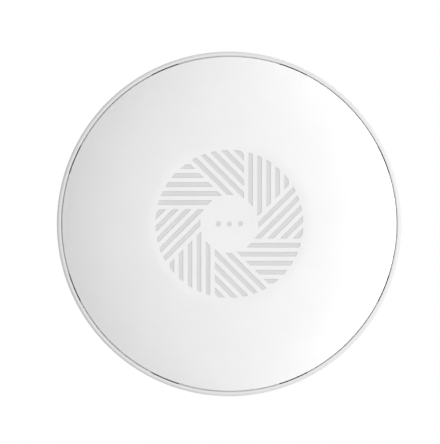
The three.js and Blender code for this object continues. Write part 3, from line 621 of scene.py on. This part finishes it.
NIB_RADIUS = (FINGER_INNER + FINGER_OUTER) / 2
RAMP_SWEEP = NIB_SWEEP + TWIST
RAMP_LOW = -6.8
ramp = block((-0.5, -0.5, -0.5), (0.5, 0.5, 0.5))
bmesh.ops.subdivide_edges(
    ramp,
    edges=[e for e in ramp.edges if abs((e.verts[0].co - e.verts[1].co).x) > 0.5],
    cuts=27,
    use_grid_fill=True,
)
finger_reach = NIB_RADIUS * math.sin(math.radians(FINGER_SWEEP))
for corner in ramp.verts:
    travel = (corner.co.x + 0.5) * RAMP_SWEEP
    lift = finger_reach * math.sin(math.radians(max(0, travel - NIB_SWEEP) / 6))
    height = RAMP_LOW + lift if corner.co.z > 0 else RECESS_FLOOR - 1
    angle = math.radians(NIB_START + travel)
    radius = NIB_RADIUS + 6 * corner.co.y
    corner.co = (radius * math.cos(angle), radius * math.sin(angle), height)
casing = worked(casing, [ramp], "UNION")
add_piece(casing, "bowl_casing", "unit", casing_plastic, ["rear_casing"])


# ---- Light diffuser -----------------------------------------------------------------------------
# A milky plate behind the face. Its raised lands fill the stripes and the three status dots of the
# cover, almost flush, so the pattern reads as light-grey stripes until the lights come on.

FACE_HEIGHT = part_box("front_cover")[0][2] * 1000
STRIPE_WIDTH = 2.1
STRIPE_PITCH = 4.47
STRIPE_FIRST = 10.6
STRIPES_IN_GROUP = 5
BLANK_LENGTH = 84.0  # of a stripe before its ends are cut
FIELD_RADIUS = 36.7
HUB_RADIUS = 14.5
DOTS = (-5.5, 0.0, 5.5)
DOT_RADIUS = 1.2

diffuser_plastic = moulded(
    "diffuser_plastic", (0.712, 0.712, 0.712), (0.732, 0.732, 0.732), 0.42, grain=0.5, depth=0.008, glow=0.15
)


def stripe_fan(low, high, low_grow=0.0, high_grow=0.0):
    """One group of five parallel stripes between two heights. Each stripe is grown all round by
    low_grow at its low end and by high_grow at its high end. It ends at the round field, at the
    plain hub, and one stripe gap short of the next group."""
    slope = (low_grow - high_grow) / (high - low)
    end = STRIPE_FIRST - STRIPE_PITCH + STRIPE_WIDTH / 2 + high_grow
    fan = bmesh.new()
    for step in range(STRIPES_IN_GROUP):
        middle = -(STRIPE_FIRST + step * STRIPE_PITCH)
        made = bmesh.ops.create_cube(fan, size=1)["verts"]
        for corner in made:
            at_low = corner.co.z < 0
            half = STRIPE_WIDTH / 2 + (low_grow if at_low else high_grow)
            corner.co.x *= BLANK_LENGTH
            corner.co.y = middle + math.copysign(half, corner.co.y)
            corner.co.z = low if at_low else high
    slant = Vector((math.cos(math.radians(-45)), math.sin(math.radians(-45)), 0))
    cut = bmesh.ops.bisect_plane(
        fan,
        geom=fan.verts[:] + fan.edges[:] + fan.faces[:],
        plane_co=slant * end + Vector((0, 0, high)),
        plane_no=slant + Vector((0, 0, slope)),
        clear_outer=True,
    )
    rims = [e for e in cut["geom_cut"] if isinstance(e, bmesh.types.BMEdge)]
    bmesh.ops.holes_fill(fan, edges=rims)
    bmesh.ops.recalc_face_normals(fan, faces=fan.faces)
    field = turned(
        [
            (HUB_RADIUS - low_grow - slope, low - 1),
            (FIELD_RADIUS + low_grow + slope, low - 1),
            (FIELD_RADIUS + high_grow - slope, high + 1),
            (HUB_RADIUS - high_grow + slope, high + 1),
        ],
        steps=256,
    )
    return worked(fan, [field], "INTERSECT")


def all_stripes(low, high, low_grow=0.0, high_grow=0.0):
    """The eight groups of stripes and the three status dots, as separate solids."""
    solids = [turn(stripe_fan(low, high, low_grow, high_grow), 45 * i) for i in range(8)]
    for x in DOTS:
        dot = rod(DOT_RADIUS, low, high, x)
        for corner in dot.verts:
            grow = low_grow if corner.co.z < (low + high) / 2 else high_grow
            spread = 1 + grow / DOT_RADIUS
            corner.co = (x + (corner.co.x - x) * spread, corner.co.y * spread, corner.co.z)
        solids.append(dot)
    return solids


LAND_GAP = 0.04
LAND_CHAMFER = 0.03
plate_front = FACE_HEIGHT + 2.2
diffuser = rod(FIELD_RADIUS + 1.7, plate_front, plate_front + 1, edge=0.15, segments=160)
lands = all_stripes(FACE_HEIGHT + 0.1, plate_front + 0.5, -LAND_GAP, -LAND_GAP)
lands += all_stripes(FACE_HEIGHT + 0.03, FACE_HEIGHT + 0.1, -LAND_GAP - LAND_CHAMFER, -LAND_GAP)
diffuser = worked(diffuser, lands, "UNION")
add_piece(
    diffuser, "light_window", "unit", diffuser_plastic, ["light_diffuser"]
)


# ---- Front cover --------------------------------------------------------------------------------
# One thin satin-white moulding: a flat disc in the middle blends into a shallow dome that ends in a
# small rounded edge, 0.55 mm inside the casing's rim. Its lip rests on the casing's ledge, and eight
# hooks on its skirt reach through the ledge's windows and snap over catches.

COVER_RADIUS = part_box("front_cover")[1][0] * 1000
COVER_WALL = 2.0
DOME_DROP = 4.65
FLAT_RADIUS = 40.0
BLEND_START = 38.8
BLEND_END = 41.8
EDGE_ROUND = 0.4
HOOK_WIDTH = 1.4
HOOK_BARB = 1.3
SLOT_CHAMFER = 0.06

cover_plastic = moulded(
    "cover_plastic", (0.875, 0.875, 0.875), (0.895, 0.895, 0.895), 0.4, grain=0.3, depth=0.006, glow=0.1
)


def dome_height(radius):
    """The dome alone: it leaves the flat at a small angle and curves more towards its edge."""
    t = (radius - FLAT_RADIUS) / (COVER_RADIUS - FLAT_RADIUS)
    return FACE_HEIGHT + DOME_DROP * (0.38 * t + 0.45 * t**2 + 0.17 * t**4)


def face_height(radius):
    """Height of the face: flat in the middle, the dome outside, and a smooth blend between them."""
    if radius <= BLEND_START:
        return FACE_HEIGHT
    if radius >= BLEND_END:
        return dome_height(radius)
    span = BLEND_END - BLEND_START
    t = (radius - BLEND_START) / span
    rise = dome_height(BLEND_END) - FACE_HEIGHT
    slope = span * (dome_height(BLEND_END + 0.01) - dome_height(BLEND_END)) / 0.01
    return FACE_HEIGHT + rise * (3 * t * t - 2 * t**3) + slope * (t**3 - t * t)


def radii(first, last, count):
    return [first + (last - first) * i / (count - 1) for i in range(count)]


face_radii = [*radii(BLEND_START, BLEND_END, 13), *radii(44, COVER_RADIUS - EDGE_ROUND, 30)]
edge_height = face_height(COVER_RADIUS - EDGE_ROUND)
lip_top = RIM_HEIGHT + 1.7
skirt_radius = COVER_RADIUS - 2
skirt_inner = skirt_radius - 1.8
inside_radii = radii(skirt_inner, FLAT_RADIUS, 16)
cover = turned(
    [
        (0, FACE_HEIGHT),
        *[(r, face_height(r)) for r in face_radii],
        *arc_points(
            (COVER_RADIUS - EDGE_ROUND, edge_height + EDGE_ROUND), EDGE_ROUND, -70, 0, 6
        ),
        (COVER_RADIUS, lip_top),
        (skirt_radius, lip_top),
        (skirt_radius, lip_top + 3.2),
        (skirt_inner, lip_top + 3.2),
        *[(r, face_height(r) + COVER_WALL) for r in inside_radii],
        (0, FACE_HEIGHT + COVER_WALL),
    ],
    steps=256,
)
hook_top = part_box("front_cover")[1][2] * 1000
hook_face = skirt_radius - 0.2
hooks = []
for step in range(HOOKS):
    hooks.append(
        turned(
            [
                (hook_face - HOOK_WIDTH, lip_top - 0.5),
                (hook_face, lip_top - 0.5),
                (hook_face, hook_top - 2.2),
                (hook_face + HOOK_BARB, hook_top - 2.2),
                (hook_face + HOOK_BARB, hook_top - 1.9),
                (hook_face + 0.4, hook_top - 0.15),
                (hook_face + 0.2, hook_top),
                (hook_face - HOOK_WIDTH + 0.2, hook_top),
                (hook_face - HOOK_WIDTH, hook_top - 0.2),
            ],
            steps=8,
            start=HOOK_FIRST + 45 * step - 4.25,
            sweep=8.5,
        )
    )
cover = worked(cover, hooks, "UNION")
slots = all_stripes(FACE_HEIGHT - 1, FACE_HEIGHT + COVER_WALL + 1)
slots += all_stripes(FACE_HEIGHT - 0.03, FACE_HEIGHT + 0.03, SLOT_CHAMFER, 0)
cover = worked(cover, slots, "DIFFERENCE")
add_piece(cover, "domed_cover", "unit", cover_plastic, ["front_cover"])


# ---- Rating label -------------------------------------------------------------------------------
# A white film label stuck in a shallow recess in the casing's back. It is printed with a plain ruled
# table of empty boxes.

def corners_of(node):
    """Lowest and highest corner of a node of the frame, in millimetres."""
    return [corner * 1000 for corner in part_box(node)]


def printed_film():
    material = moulded("label_film", (0.86, 0.86, 0.85), (0.88, 0.88, 0.87), 0.4, grain=0.15, depth=0.002)
    nodes = material.node_tree.nodes
    table = nodes.new("ShaderNodeTexBrick")
    table.offset = 0.0
    table.inputs["Color1"].default_value = (0.87, 0.87, 0.86, 1)
    table.inputs["Color2"].default_value = (0.85, 0.85, 0.84, 1)
    table.inputs["Mortar"].default_value = (0.3, 0.3, 0.31, 1)
    table.inputs["Scale"].default_value = 1
    table.inputs["Mortar Size"].default_value = 0.0001
    table.inputs["Brick Width"].default_value = 0.012
    table.inputs["Row Height"].default_value = 0.0036
    link_up(material, nodes["Texture Coordinate"], "Object", table, "Vector")
    link_up(material, table, "Color", nodes["Principled BSDF"], "Base Color")
    return material


label = block(*corners_of("rating_label"), corner=2, edge=0.04)
add_piece(label, "rating_film", "unit", printed_film(), ["rating_label"])


# ---- Main board ---------------------------------------------------------------------------------
# A round green circuit board across the casing, room side down. Notches in its edge locate it, and
# four pan-head screws pull it on to the casing's posts.

BOARD_LOW, BOARD_HIGH = (corner.z for corner in corners_of("main_board"))
BOARD_RADIUS = corners_of("main_board")[1].x
NOTCH_RADIUS = 2.5
SCREW_HOLE = 1.7


def masked_board():
    """Green solder mask: raised copper tracks show through as a lighter green, with small tin pads."""
    material = moulded("board_mask", (0.008, 0.075, 0.03), (0.012, 0.1, 0.042), 0.32, grain=0.6, depth=0.004)
    nodes = material.node_tree.nodes
    tracks = nodes.new("ShaderNodeTexBrick")
    tracks.inputs["Color1"].default_value = (0.008, 0.08, 0.033, 1)
    tracks.inputs["Color2"].default_value = (0.011, 0.1, 0.042, 1)
    tracks.inputs["Mortar"].default_value = (0.028, 0.17, 0.07, 1)
    tracks.inputs["Scale"].default_value = 1
    tracks.inputs["Mortar Size"].default_value = 0.00016
    tracks.inputs["Brick Width"].default_value = 0.0062
    tracks.inputs["Row Height"].default_value = 0.0011
    pads = nodes.new("ShaderNodeTexVoronoi")
    pads.inputs["Scale"].default_value = 240
    pads.inputs["Randomness"].default_value = 0.75
    spots = nodes.new("ShaderNodeValToRGB")
    spots.color_ramp.interpolation = "CONSTANT"
    spots.color_ramp.elements[0].color = (1, 1, 1, 1)
    spots.color_ramp.elements[1].color = (0, 0, 0, 1)
    spots.color_ramp.elements[1].position = 0.13
    tinned = nodes.new("ShaderNodeMix")
    tinned.data_type = "RGBA"
    tinned.inputs["B"].default_value = (0.55, 0.56, 0.57, 1)
    link_up(material, nodes["Texture Coordinate"], "Object", tracks, "Vector")
    link_up(material, nodes["Texture Coordinate"], "Object", pads, "Vector")
    link_up(material, pads, "Distance", spots, "Fac")
    link_up(material, spots, "Color", tinned, "Factor")
    link_up(material, tracks, "Color", tinned, "A")
    link_up(material, tinned, "Result", nodes["Principled BSDF"], "Base Color")
    return material


def rolled_metal(name, dark, light, roughness, stretch=(1, 1, 1)):
    """Bare metal, with its grain drawn out along the way that it was rolled or turned."""
    material = moulded(name, dark, light, roughness, grain=0.2, depth=0.003, cloud=5)
    nodes = material.node_tree.nodes
    nodes["Principled BSDF"].inputs["Metallic"].default_value = 1
    drawn = nodes.new("ShaderNodeMapping")
    drawn.inputs["Scale"].default_value = stretch
    link_up(material, nodes["Texture Coordinate"], "Object", drawn, "Vector")
    for texture in [node for node in nodes if node.type == "TEX_NOISE"]:
        link_up(material, drawn, "Vector", texture, "Vector")
    return material


board_cuts = []
for y in (-BOARD_RADIUS, BOARD_RADIUS):
    board_cuts.append(rod(NOTCH_RADIUS, BOARD_LOW - 1, BOARD_HIGH + 1, 0, y))
for x, y, _ in screw_places(POST_CIRCLE):
    board_cuts.append(rod(SCREW_HOLE, BOARD_LOW - 1, BOARD_HIGH + 1, x, y, segments=32))
board = worked(
    rod(BOARD_RADIUS, BOARD_LOW, BOARD_HIGH, edge=0.08, segments=192), board_cuts, "DIFFERENCE"
)
add_piece(board, "circuit_board", "unit", masked_board(), ["main_board"])

screw_steel = rolled_metal("screw_steel", (0.42, 0.42, 0.43), (0.5, 0.5, 0.51), 0.3)
seat = BOARD_LOW - 0.1
thread = []
for turn_count in range(7):
    foot = seat + 1.0 + turn_count
    thread += [(1.05, foot), (1.28, foot + 0.3), (1.28, foot + 0.42), (1.05, foot + 0.72)]
for number, (x, y, _) in enumerate(sorted(screw_places(POST_CIRCLE), key=lambda p: (p[1], p[0]))):
    screw = turned(
        [
            (0, seat - 1.9),
            (1.2, seat - 1.84),
            (2.1, seat - 1.6),
            (2.65, seat - 1.1),
            (2.8, seat - 0.5),
            (2.8, seat),
            (1.3, seat),
            *thread,
            (0.9, seat + 7.9),
            (0, seat + 8),
        ],
        steps=32,
    )
    cross = [
        block((-1.55, -0.32, seat - 3), (1.55, 0.32, seat - 1)),
        block((-0.32, -1.55, seat - 3), (0.32, 1.55, seat - 1)),
        rod(0.75, seat - 3, seat - 1.1, segments=16),
    ]
    screw = shift(turn(worked(screw, cross, "DIFFERENCE"), 20 + 37 * number), x, y)
    node = f"board_screw_{number + 1}"
    add_piece(screw, f"pan_head_screw_{number + 1}", "unit", screw_steel, [node])


# ---- Lights under the stripes -------------------------------------------------------------------
# Four small lamps on the room side of the board, and a white cone round them that spreads their light
# over the back of the diffuser.

led_lens = moulded("led_lens", (0.82, 0.76, 0.5), (0.86, 0.8, 0.56), 0.2, grain=0.8, depth=0.002, cloud=2)
for number in range(4):
    led = worked(
        block((10.4, -1.4, -26.75), (13.6, 1.4, -26.1), corner=0.25, edge=0.08),
        [rod(1.2, -27.4, -26.5, 12, edge=0.35, segments=32)],
        "UNION",
    )
    turn(led, 45 + 90 * number)
    add_piece(led, f"lamp_{number + 1}", "unit", led_lens, [f"status_led_{number + 1}"])

CONE_LOW, CONE_HIGH = (corner.z for corner in corners_of("light_reflector"))
CONE_RADIUS = corners_of("light_reflector")[1].x
CONE_MOUTH = 22.0
cone = turned(
    [
        (CONE_MOUTH, CONE_HIGH),
        (CONE_MOUTH, CONE_HIGH - 1),
        (CONE_MOUTH + 0.2, CONE_HIGH - 1.15),
        (CONE_RADIUS - 1.2, CONE_LOW + 0.1),
        (CONE_RADIUS - 1, CONE_LOW),
        (CONE_RADIUS - 0.15, CONE_LOW),
        (CONE_RADIUS, CONE_LOW + 0.15),
        (CONE_RADIUS, CONE_LOW + 1.2),
        (CONE_MOUTH + 2.4, CONE_HIGH),
    ],
    steps=128,
)
reflector_plastic = moulded("reflector_plastic", (0.88, 0.88, 0.88), (0.91, 0.91, 0.91), 0.25, depth=0.004)
add_piece(cone, "light_cone", "unit", reflector_plastic, ["light_reflector"])


# ---- Aerials ------------------------------------------------------------------------------------
# Four pressed tinplate aerials on the room side of the board. Each is a plate on a feed leg and a
# ground leg, with a short lip bent down at its outer end.

tinned_steel = rolled_metal("tinned_steel", (0.56, 0.57, 0.58), (0.66, 0.67, 0.68), 0.28, (1, 6, 1))
AERIAL_LOW, AERIAL_HIGH = corners_of("aerial_1")
plate_top = AERIAL_LOW.z + 0.4
for number in range(4):
    legs = [
        block((59.5, -14, AERIAL_LOW.z + 0.1), (59.9, -11, AERIAL_HIGH.z)),
        block((59.5, -7, AERIAL_LOW.z + 0.1), (59.9, -5, AERIAL_HIGH.z)),
        block((68.1, -4, AERIAL_LOW.z + 0.1), (68.5, 12, (AERIAL_LOW.z + AERIAL_HIGH.z + 0.4) / 2)),
    ]
    plate = block((59.5, -14, AERIAL_LOW.z), (68.5, 14, plate_top), corner=0.5, edge=0.12)
    aerial = turn(worked(plate, legs, "UNION"), 90 * number)
    node = f"aerial_{number + 1}"
    add_piece(aerial, f"pressed_aerial_{number + 1}", "unit", tinned_steel, [node])


# ---- Chips, shields and heat sink ---------------------------------------------------------------
# Black resin chips on the ceiling side of the board, under drawn tinplate lids. A soft grey pad and a
# finned aluminium block stand on the largest lid.

chip_resin = moulded(
    "chip_resin", (0.012, 0.012, 0.013), (0.02, 0.02, 0.021), 0.42, grain=0.12, depth=0.004, cloud=3
)


def marked_chip(node):
    """A chip with softened edges and a small moulded dimple at its first leg."""
    low, high = corners_of(node)
    dimple = rod(0.45, high.z - 0.08, high.z + 1, low.x + 1.2, low.y + 1.2, segments=24)
    resin = worked(block(low, high, corner=0.35, edge=0.1), [dimple], "DIFFERENCE")
    add_piece(resin, node.replace("_chip", "_package"), "unit", chip_resin, [node])


for node in (
    "processor_chip",
    "memory_chip",
    "flash_chip",
    "radio_chip_2g",
    "radio_chip_5g",
    "power_controller_chip",
):
    marked_chip(node)

for node in ("processor_shield", "radio_shield_2g", "radio_shield_5g"):
    low, high = corners_of(node)
    wall = Vector((0.3, 0.3, 0))
    hollow = [block(low + wall - Vector((0, 0, 1)), high - wall - Vector((0, 0, 0.3)), corner=0.9)]
    for side in (-1, 1):
        middle = (low.y + high.y) / 2 + side * (high.y - low.y) / 2
        for x in radii(low.x + 4, high.x - 4, 5):
            hollow.append(block((x - 0.8, middle - 1, low.z - 1), (x + 0.8, middle + 1, low.z + 0.5)))
    lid = worked(block(low, high, corner=1.2, edge=0.25), hollow, "DIFFERENCE")
    add_piece(lid, node.replace("shield", "lid"), "unit", tinned_steel, [node])

pad_grey = moulded("thermal_pad", (0.2, 0.23, 0.26), (0.24, 0.27, 0.3), 0.75, grain=0.25, depth=0.02, cloud=2)
pad = block(*corners_of("thermal_pad"), corner=0.6, edge=0.2)
add_piece(pad, "soft_pad", "unit", pad_grey, ["thermal_pad"])

aluminium = rolled_metal("aluminium", (0.5, 0.505, 0.51), (0.58, 0.585, 0.59), 0.34, (6, 1, 6))
low, high = corners_of("heat_sink")
fins = []
for x in radii(low.x, high.x - 1.4, 9):
    fins.append(block((x, low.y, low.z + 1), (x + 1.4, high.y, high.z), edge=0.3))
sink = worked(block(low, (high.x, high.y, low.z + 2), edge=0.25), fins, "UNION")
add_piece(sink, "finned_sink", "unit", aluminium, ["heat_sink"])


# ---- Power parts --------------------------------------------------------------------------------
# Two aluminium can capacitors, a wound power transformer, a shielded coil and the network socket's
# transformer, all soldered to the ceiling side of the board.

for number in (1, 2):
    low, high = corners_of(f"capacitor_{number}")
    foot = low.z
    top = high.z
    can = turned(
        [
            (0, foot),
            (3.7, foot),
            (4, foot + 0.3),
            (4, foot + 1),
            (3.5, foot + 1.5),
            (4, foot + 2),
            (4, top - 0.45),
            (3.85, top - 0.12),
            (3.55, top),
            (3.3, top - 0.1),
            (3.2, top - 0.2),
            (0, top - 0.2),
        ],
        steps=64,
    )
    score = [
        block((-2.2, -0.12, top - 0.4), (2.2, 0.12, top + 1)),
        block((-0.12, -2.2, top - 0.4), (0.12, 2.2, top + 1)),
    ]
    can = shift(worked(can, score, "DIFFERENCE"), (low.x + high.x) / 2, (low.y + high.y) / 2)
    add_piece(can, f"can_capacitor_{number}", "unit", aluminium, [f"capacitor_{number}"])

low, high = corners_of("power_transformer")
core = [
    block((low.x + 1.2, low.y + 1.2, low.z + 1), (high.x - 1.2, high.y - 1.2, high.z - 1), corner=2.5),
    block((low.x, low.y, high.z - 2.2), high, corner=0.8, edge=0.2),
    block((low.x, low.y + 4, low.z + 1), (low.x + 1.6, high.y - 4, high.z - 1)),
    block((high.x - 1.6, low.y + 4, low.z + 1), (high.x, high.y - 4, high.z - 1)),
]
for step in range(9):
    height = low.z + 2.5 + 0.4 * step
    ring = ((low.x + 1.1, low.y + 1.1, height), (high.x - 1.1, high.y - 1.1, height + 0.25))
    core.append(block(*ring, corner=2.6))
bobbin = block(low, (high.x, high.y, low.z + 2), corner=0.8, edge=0.2)
transformer = worked(bobbin, core, "UNION")
add_piece(
    transformer, "wound_transformer", "unit", chip_resin, ["power_transformer"]
)

low, high = corners_of("power_inductor")
coil = block(low, high, corner=2, edge=0.5)
ring = turned([(3.6, -0.25), (4.1, -0.25), (4.1, 1), (3.6, 1)], steps=64)
shift(ring, (low.x + high.x) / 2, (low.y + high.y) / 2, high.z)
coil = worked(coil, [ring], "DIFFERENCE")
add_piece(coil, "shielded_coil", "unit", chip_resin, ["power_inductor"])

low, high = corners_of("ethernet_transformer")
legs = []
for edge_y, inward in ((low.y, 1), (high.y, -1)):
    for x in radii(low.x + 1, high.x - 1, 8):
        for start, end, height in ((0, 1, 0.3), (0.7, 1.6, 2.4)):
            near, far = sorted((edge_y + inward * start, edge_y + inward * end))
            legs.append(block((x - 0.25, near, low.z), (x + 0.25, far, low.z + height)))
body_low = Vector((low.x, low.y + 1.1, low.z))
body_high = Vector((high.x, high.y - 1.1, high.z))
package = worked(block(body_low, body_high, corner=0.5, edge=0.2), legs, "UNION")
add_piece(package, "line_transformer", "unit", chip_resin, ["ethernet_transformer"])


# ---- Network socket and reset switch ------------------------------------------------------------
# The socket is a black moulded block with eight sprung gold wires, inside a folded tinplate can, and
# its mouth faces the cable pocket. Beside it a small switch is worked through a pinhole.

black_plastic = moulded("black_plastic", (0.014, 0.014, 0.015), (0.022, 0.022, 0.023), 0.38, grain=0.4)
contact_gold = rolled_metal("contact_gold", (0.74, 0.5, 0.17), (0.83, 0.59, 0.24), 0.22, (1, 8, 1))


def finish_node(node, material):
    """Gives a piece that is kept as the model's own solid its real finish."""
    for row in frame["nodes"][node].material_slots:
        row.material = material


finish_node("jack_shell", tinned_steel)
finish_node("jack_insert", black_plastic)
for number in range(8):
    finish_node(f"jack_contact_{number + 1}", contact_gold)
finish_node("reset_switch", black_plastic)

low, high = corners_of("reset_plunger")
plunger = rod(1.6, -(high.y - low.y) / 2, (high.y - low.y) / 2, edge=0.3, segments=48)
bmesh.ops.rotate(plunger, verts=plunger.verts, matrix=Matrix.Rotation(math.radians(90), 3, "X"))
shift(plunger, *((low + high) / 2))
add_piece(plunger, "switch_plunger", "reset_button", black_plastic, ["reset_plunger"])


# ---- Studio -------------------------------------------------------------------------------------
# A pale floor two metres under the unit, and a white surround that is dimmer towards the horizon and
# to the left. A low lamp on the right models the dome and lights only the face, a second low lamp
# lights the rest, and a high one models the back.

FLOOR_HEIGHT = -2.1
floor_mesh = bmesh.new()
bmesh.ops.create_grid(floor_mesh, x_segments=1, y_segments=1, size=20)
bmesh.ops.translate(floor_mesh, vec=(0, 0, FLOOR_HEIGHT), verts=floor_mesh.verts)
floor = loose_object(floor_mesh, "studio_floor")
floor_paint = bpy.data.materials.new("floor_paint")
floor_paint.use_nodes = True
floor_shader = floor_paint.node_tree.nodes["Principled BSDF"]
floor_shader.inputs["Base Color"].default_value = (0.8, 0.8, 0.8, 1)
floor_shader.inputs["Roughness"].default_value = 0.9
floor.data.materials.append(floor_paint)
bpy.context.scene.collection.objects.link(floor)

world = bpy.data.worlds.new("studio")
bpy.context.scene.world = world
world.use_nodes = True
world_nodes = world.node_tree.nodes
sky = world_nodes.new("ShaderNodeTexCoord")
direction = world_nodes.new("ShaderNodeSeparateXYZ")
link_up(world, sky, "Generated", direction, "Vector")


def graded(axis, first, last, low, high):
    """A strength that goes evenly with the direction along an axis, low at first and high at last."""
    strength = world_nodes.new("ShaderNodeMapRange")
    strength.inputs["From Min"].default_value = first
    strength.inputs["From Max"].default_value = last
    strength.inputs["To Min"].default_value = low
    strength.inputs["To Max"].default_value = high
    link_up(world, direction, axis, strength, "Value")
    return strength


overhead = graded("Z", 0, 0.7, 0.35, 0.88)
sideways = graded("X", -1, 1, 0.4, 1.6)
light_strength = world_nodes.new("ShaderNodeMath")
light_strength.operation = "MULTIPLY"
link_up(world, overhead, "Result", light_strength, 0)
link_up(world, sideways, "Result", light_strength, 1)
surround = world_nodes["Background"]
surround.inputs["Color"].default_value = (1, 1, 1, 1)
link_up(world, light_strength, "Value", surround, "Strength")
backdrop = world_nodes.new("ShaderNodeBackground")
backdrop.inputs["Color"].default_value = (1, 1, 1, 1)
link_up(world, graded("Z", 0.3, 0.95, 0.72, 1.0), "Result", backdrop, "Strength")
ray = world_nodes.new("ShaderNodeLightPath")
choice = world_nodes.new("ShaderNodeMixShader")
link_up(world, ray, "Is Camera Ray", choice, "Fac")
link_up(world, surround, "Background", choice, 1)
link_up(world, backdrop, "Background", choice, 2)
link_up(world, choice, "Shader", world_nodes["World Output"], "Surface")


def lamp(name, place, target, size, power, pieces=(), link="INCLUDE"):
    """A square soft lamp at a place, turned to face a target. It lights only the given pieces, or
    with EXCLUDE all but them."""
    data = bpy.data.lights.new(name, "AREA")
    data.shape = "SQUARE"
    data.size = size
    data.energy = power
    lit = bpy.data.objects.new(name, data)
    lit.location = place
    aim = Vector(target) - Vector(place)
    lit.rotation_euler = aim.to_track_quat("-Z", "Y").to_euler()
    lit.visible_camera = False
    bpy.context.scene.collection.objects.link(lit)
    if pieces:
        lit_pieces = bpy.data.collections.new(name + "_pieces")
        lit.light_linking.receiver_collection = lit_pieces
        for piece in pieces:
            lit_pieces.objects.link(bpy.data.objects[piece])
        for row in lit_pieces.collection_objects:
            row.light_linking.link_state = link


unit_middle = (0, 0, -0.02)
face_pieces = ("domed_cover", "light_window")
lamp("face_lamp", (4.0, -0.12, -0.87), unit_middle, 1.5, 260, face_pieces)
lamp("low_lamp", (1.6, 0, -1.5), unit_middle, 1.0, 17, face_pieces, "EXCLUDE")
lamp("top_lamp", (0.8, -1.2, 1.9), unit_middle, 1.2, 12)

FACE_DISTANCE = 1.6
VIEW_WIDTH = 0.2187
SENSOR_WIDTH = 36
camera_data = bpy.data.cameras.new("camera")
camera_data.sensor_fit = "HORIZONTAL"
camera_data.sensor_width = SENSOR_WIDTH
camera_data.lens = SENSOR_WIDTH * FACE_DISTANCE / VIEW_WIDTH
camera_data.clip_end = 20
camera = bpy.data.objects.new("camera", camera_data)
camera.location = (-0.0046, -0.00093, FACE_HEIGHT / 1000 - FACE_DISTANCE)
camera.rotation_euler = (math.pi, 0, 0)
bpy.context.scene.collection.objects.link(camera)
bpy.context.scene.camera = camera
bpy.context.scene.view_settings.view_transform = "Standard"
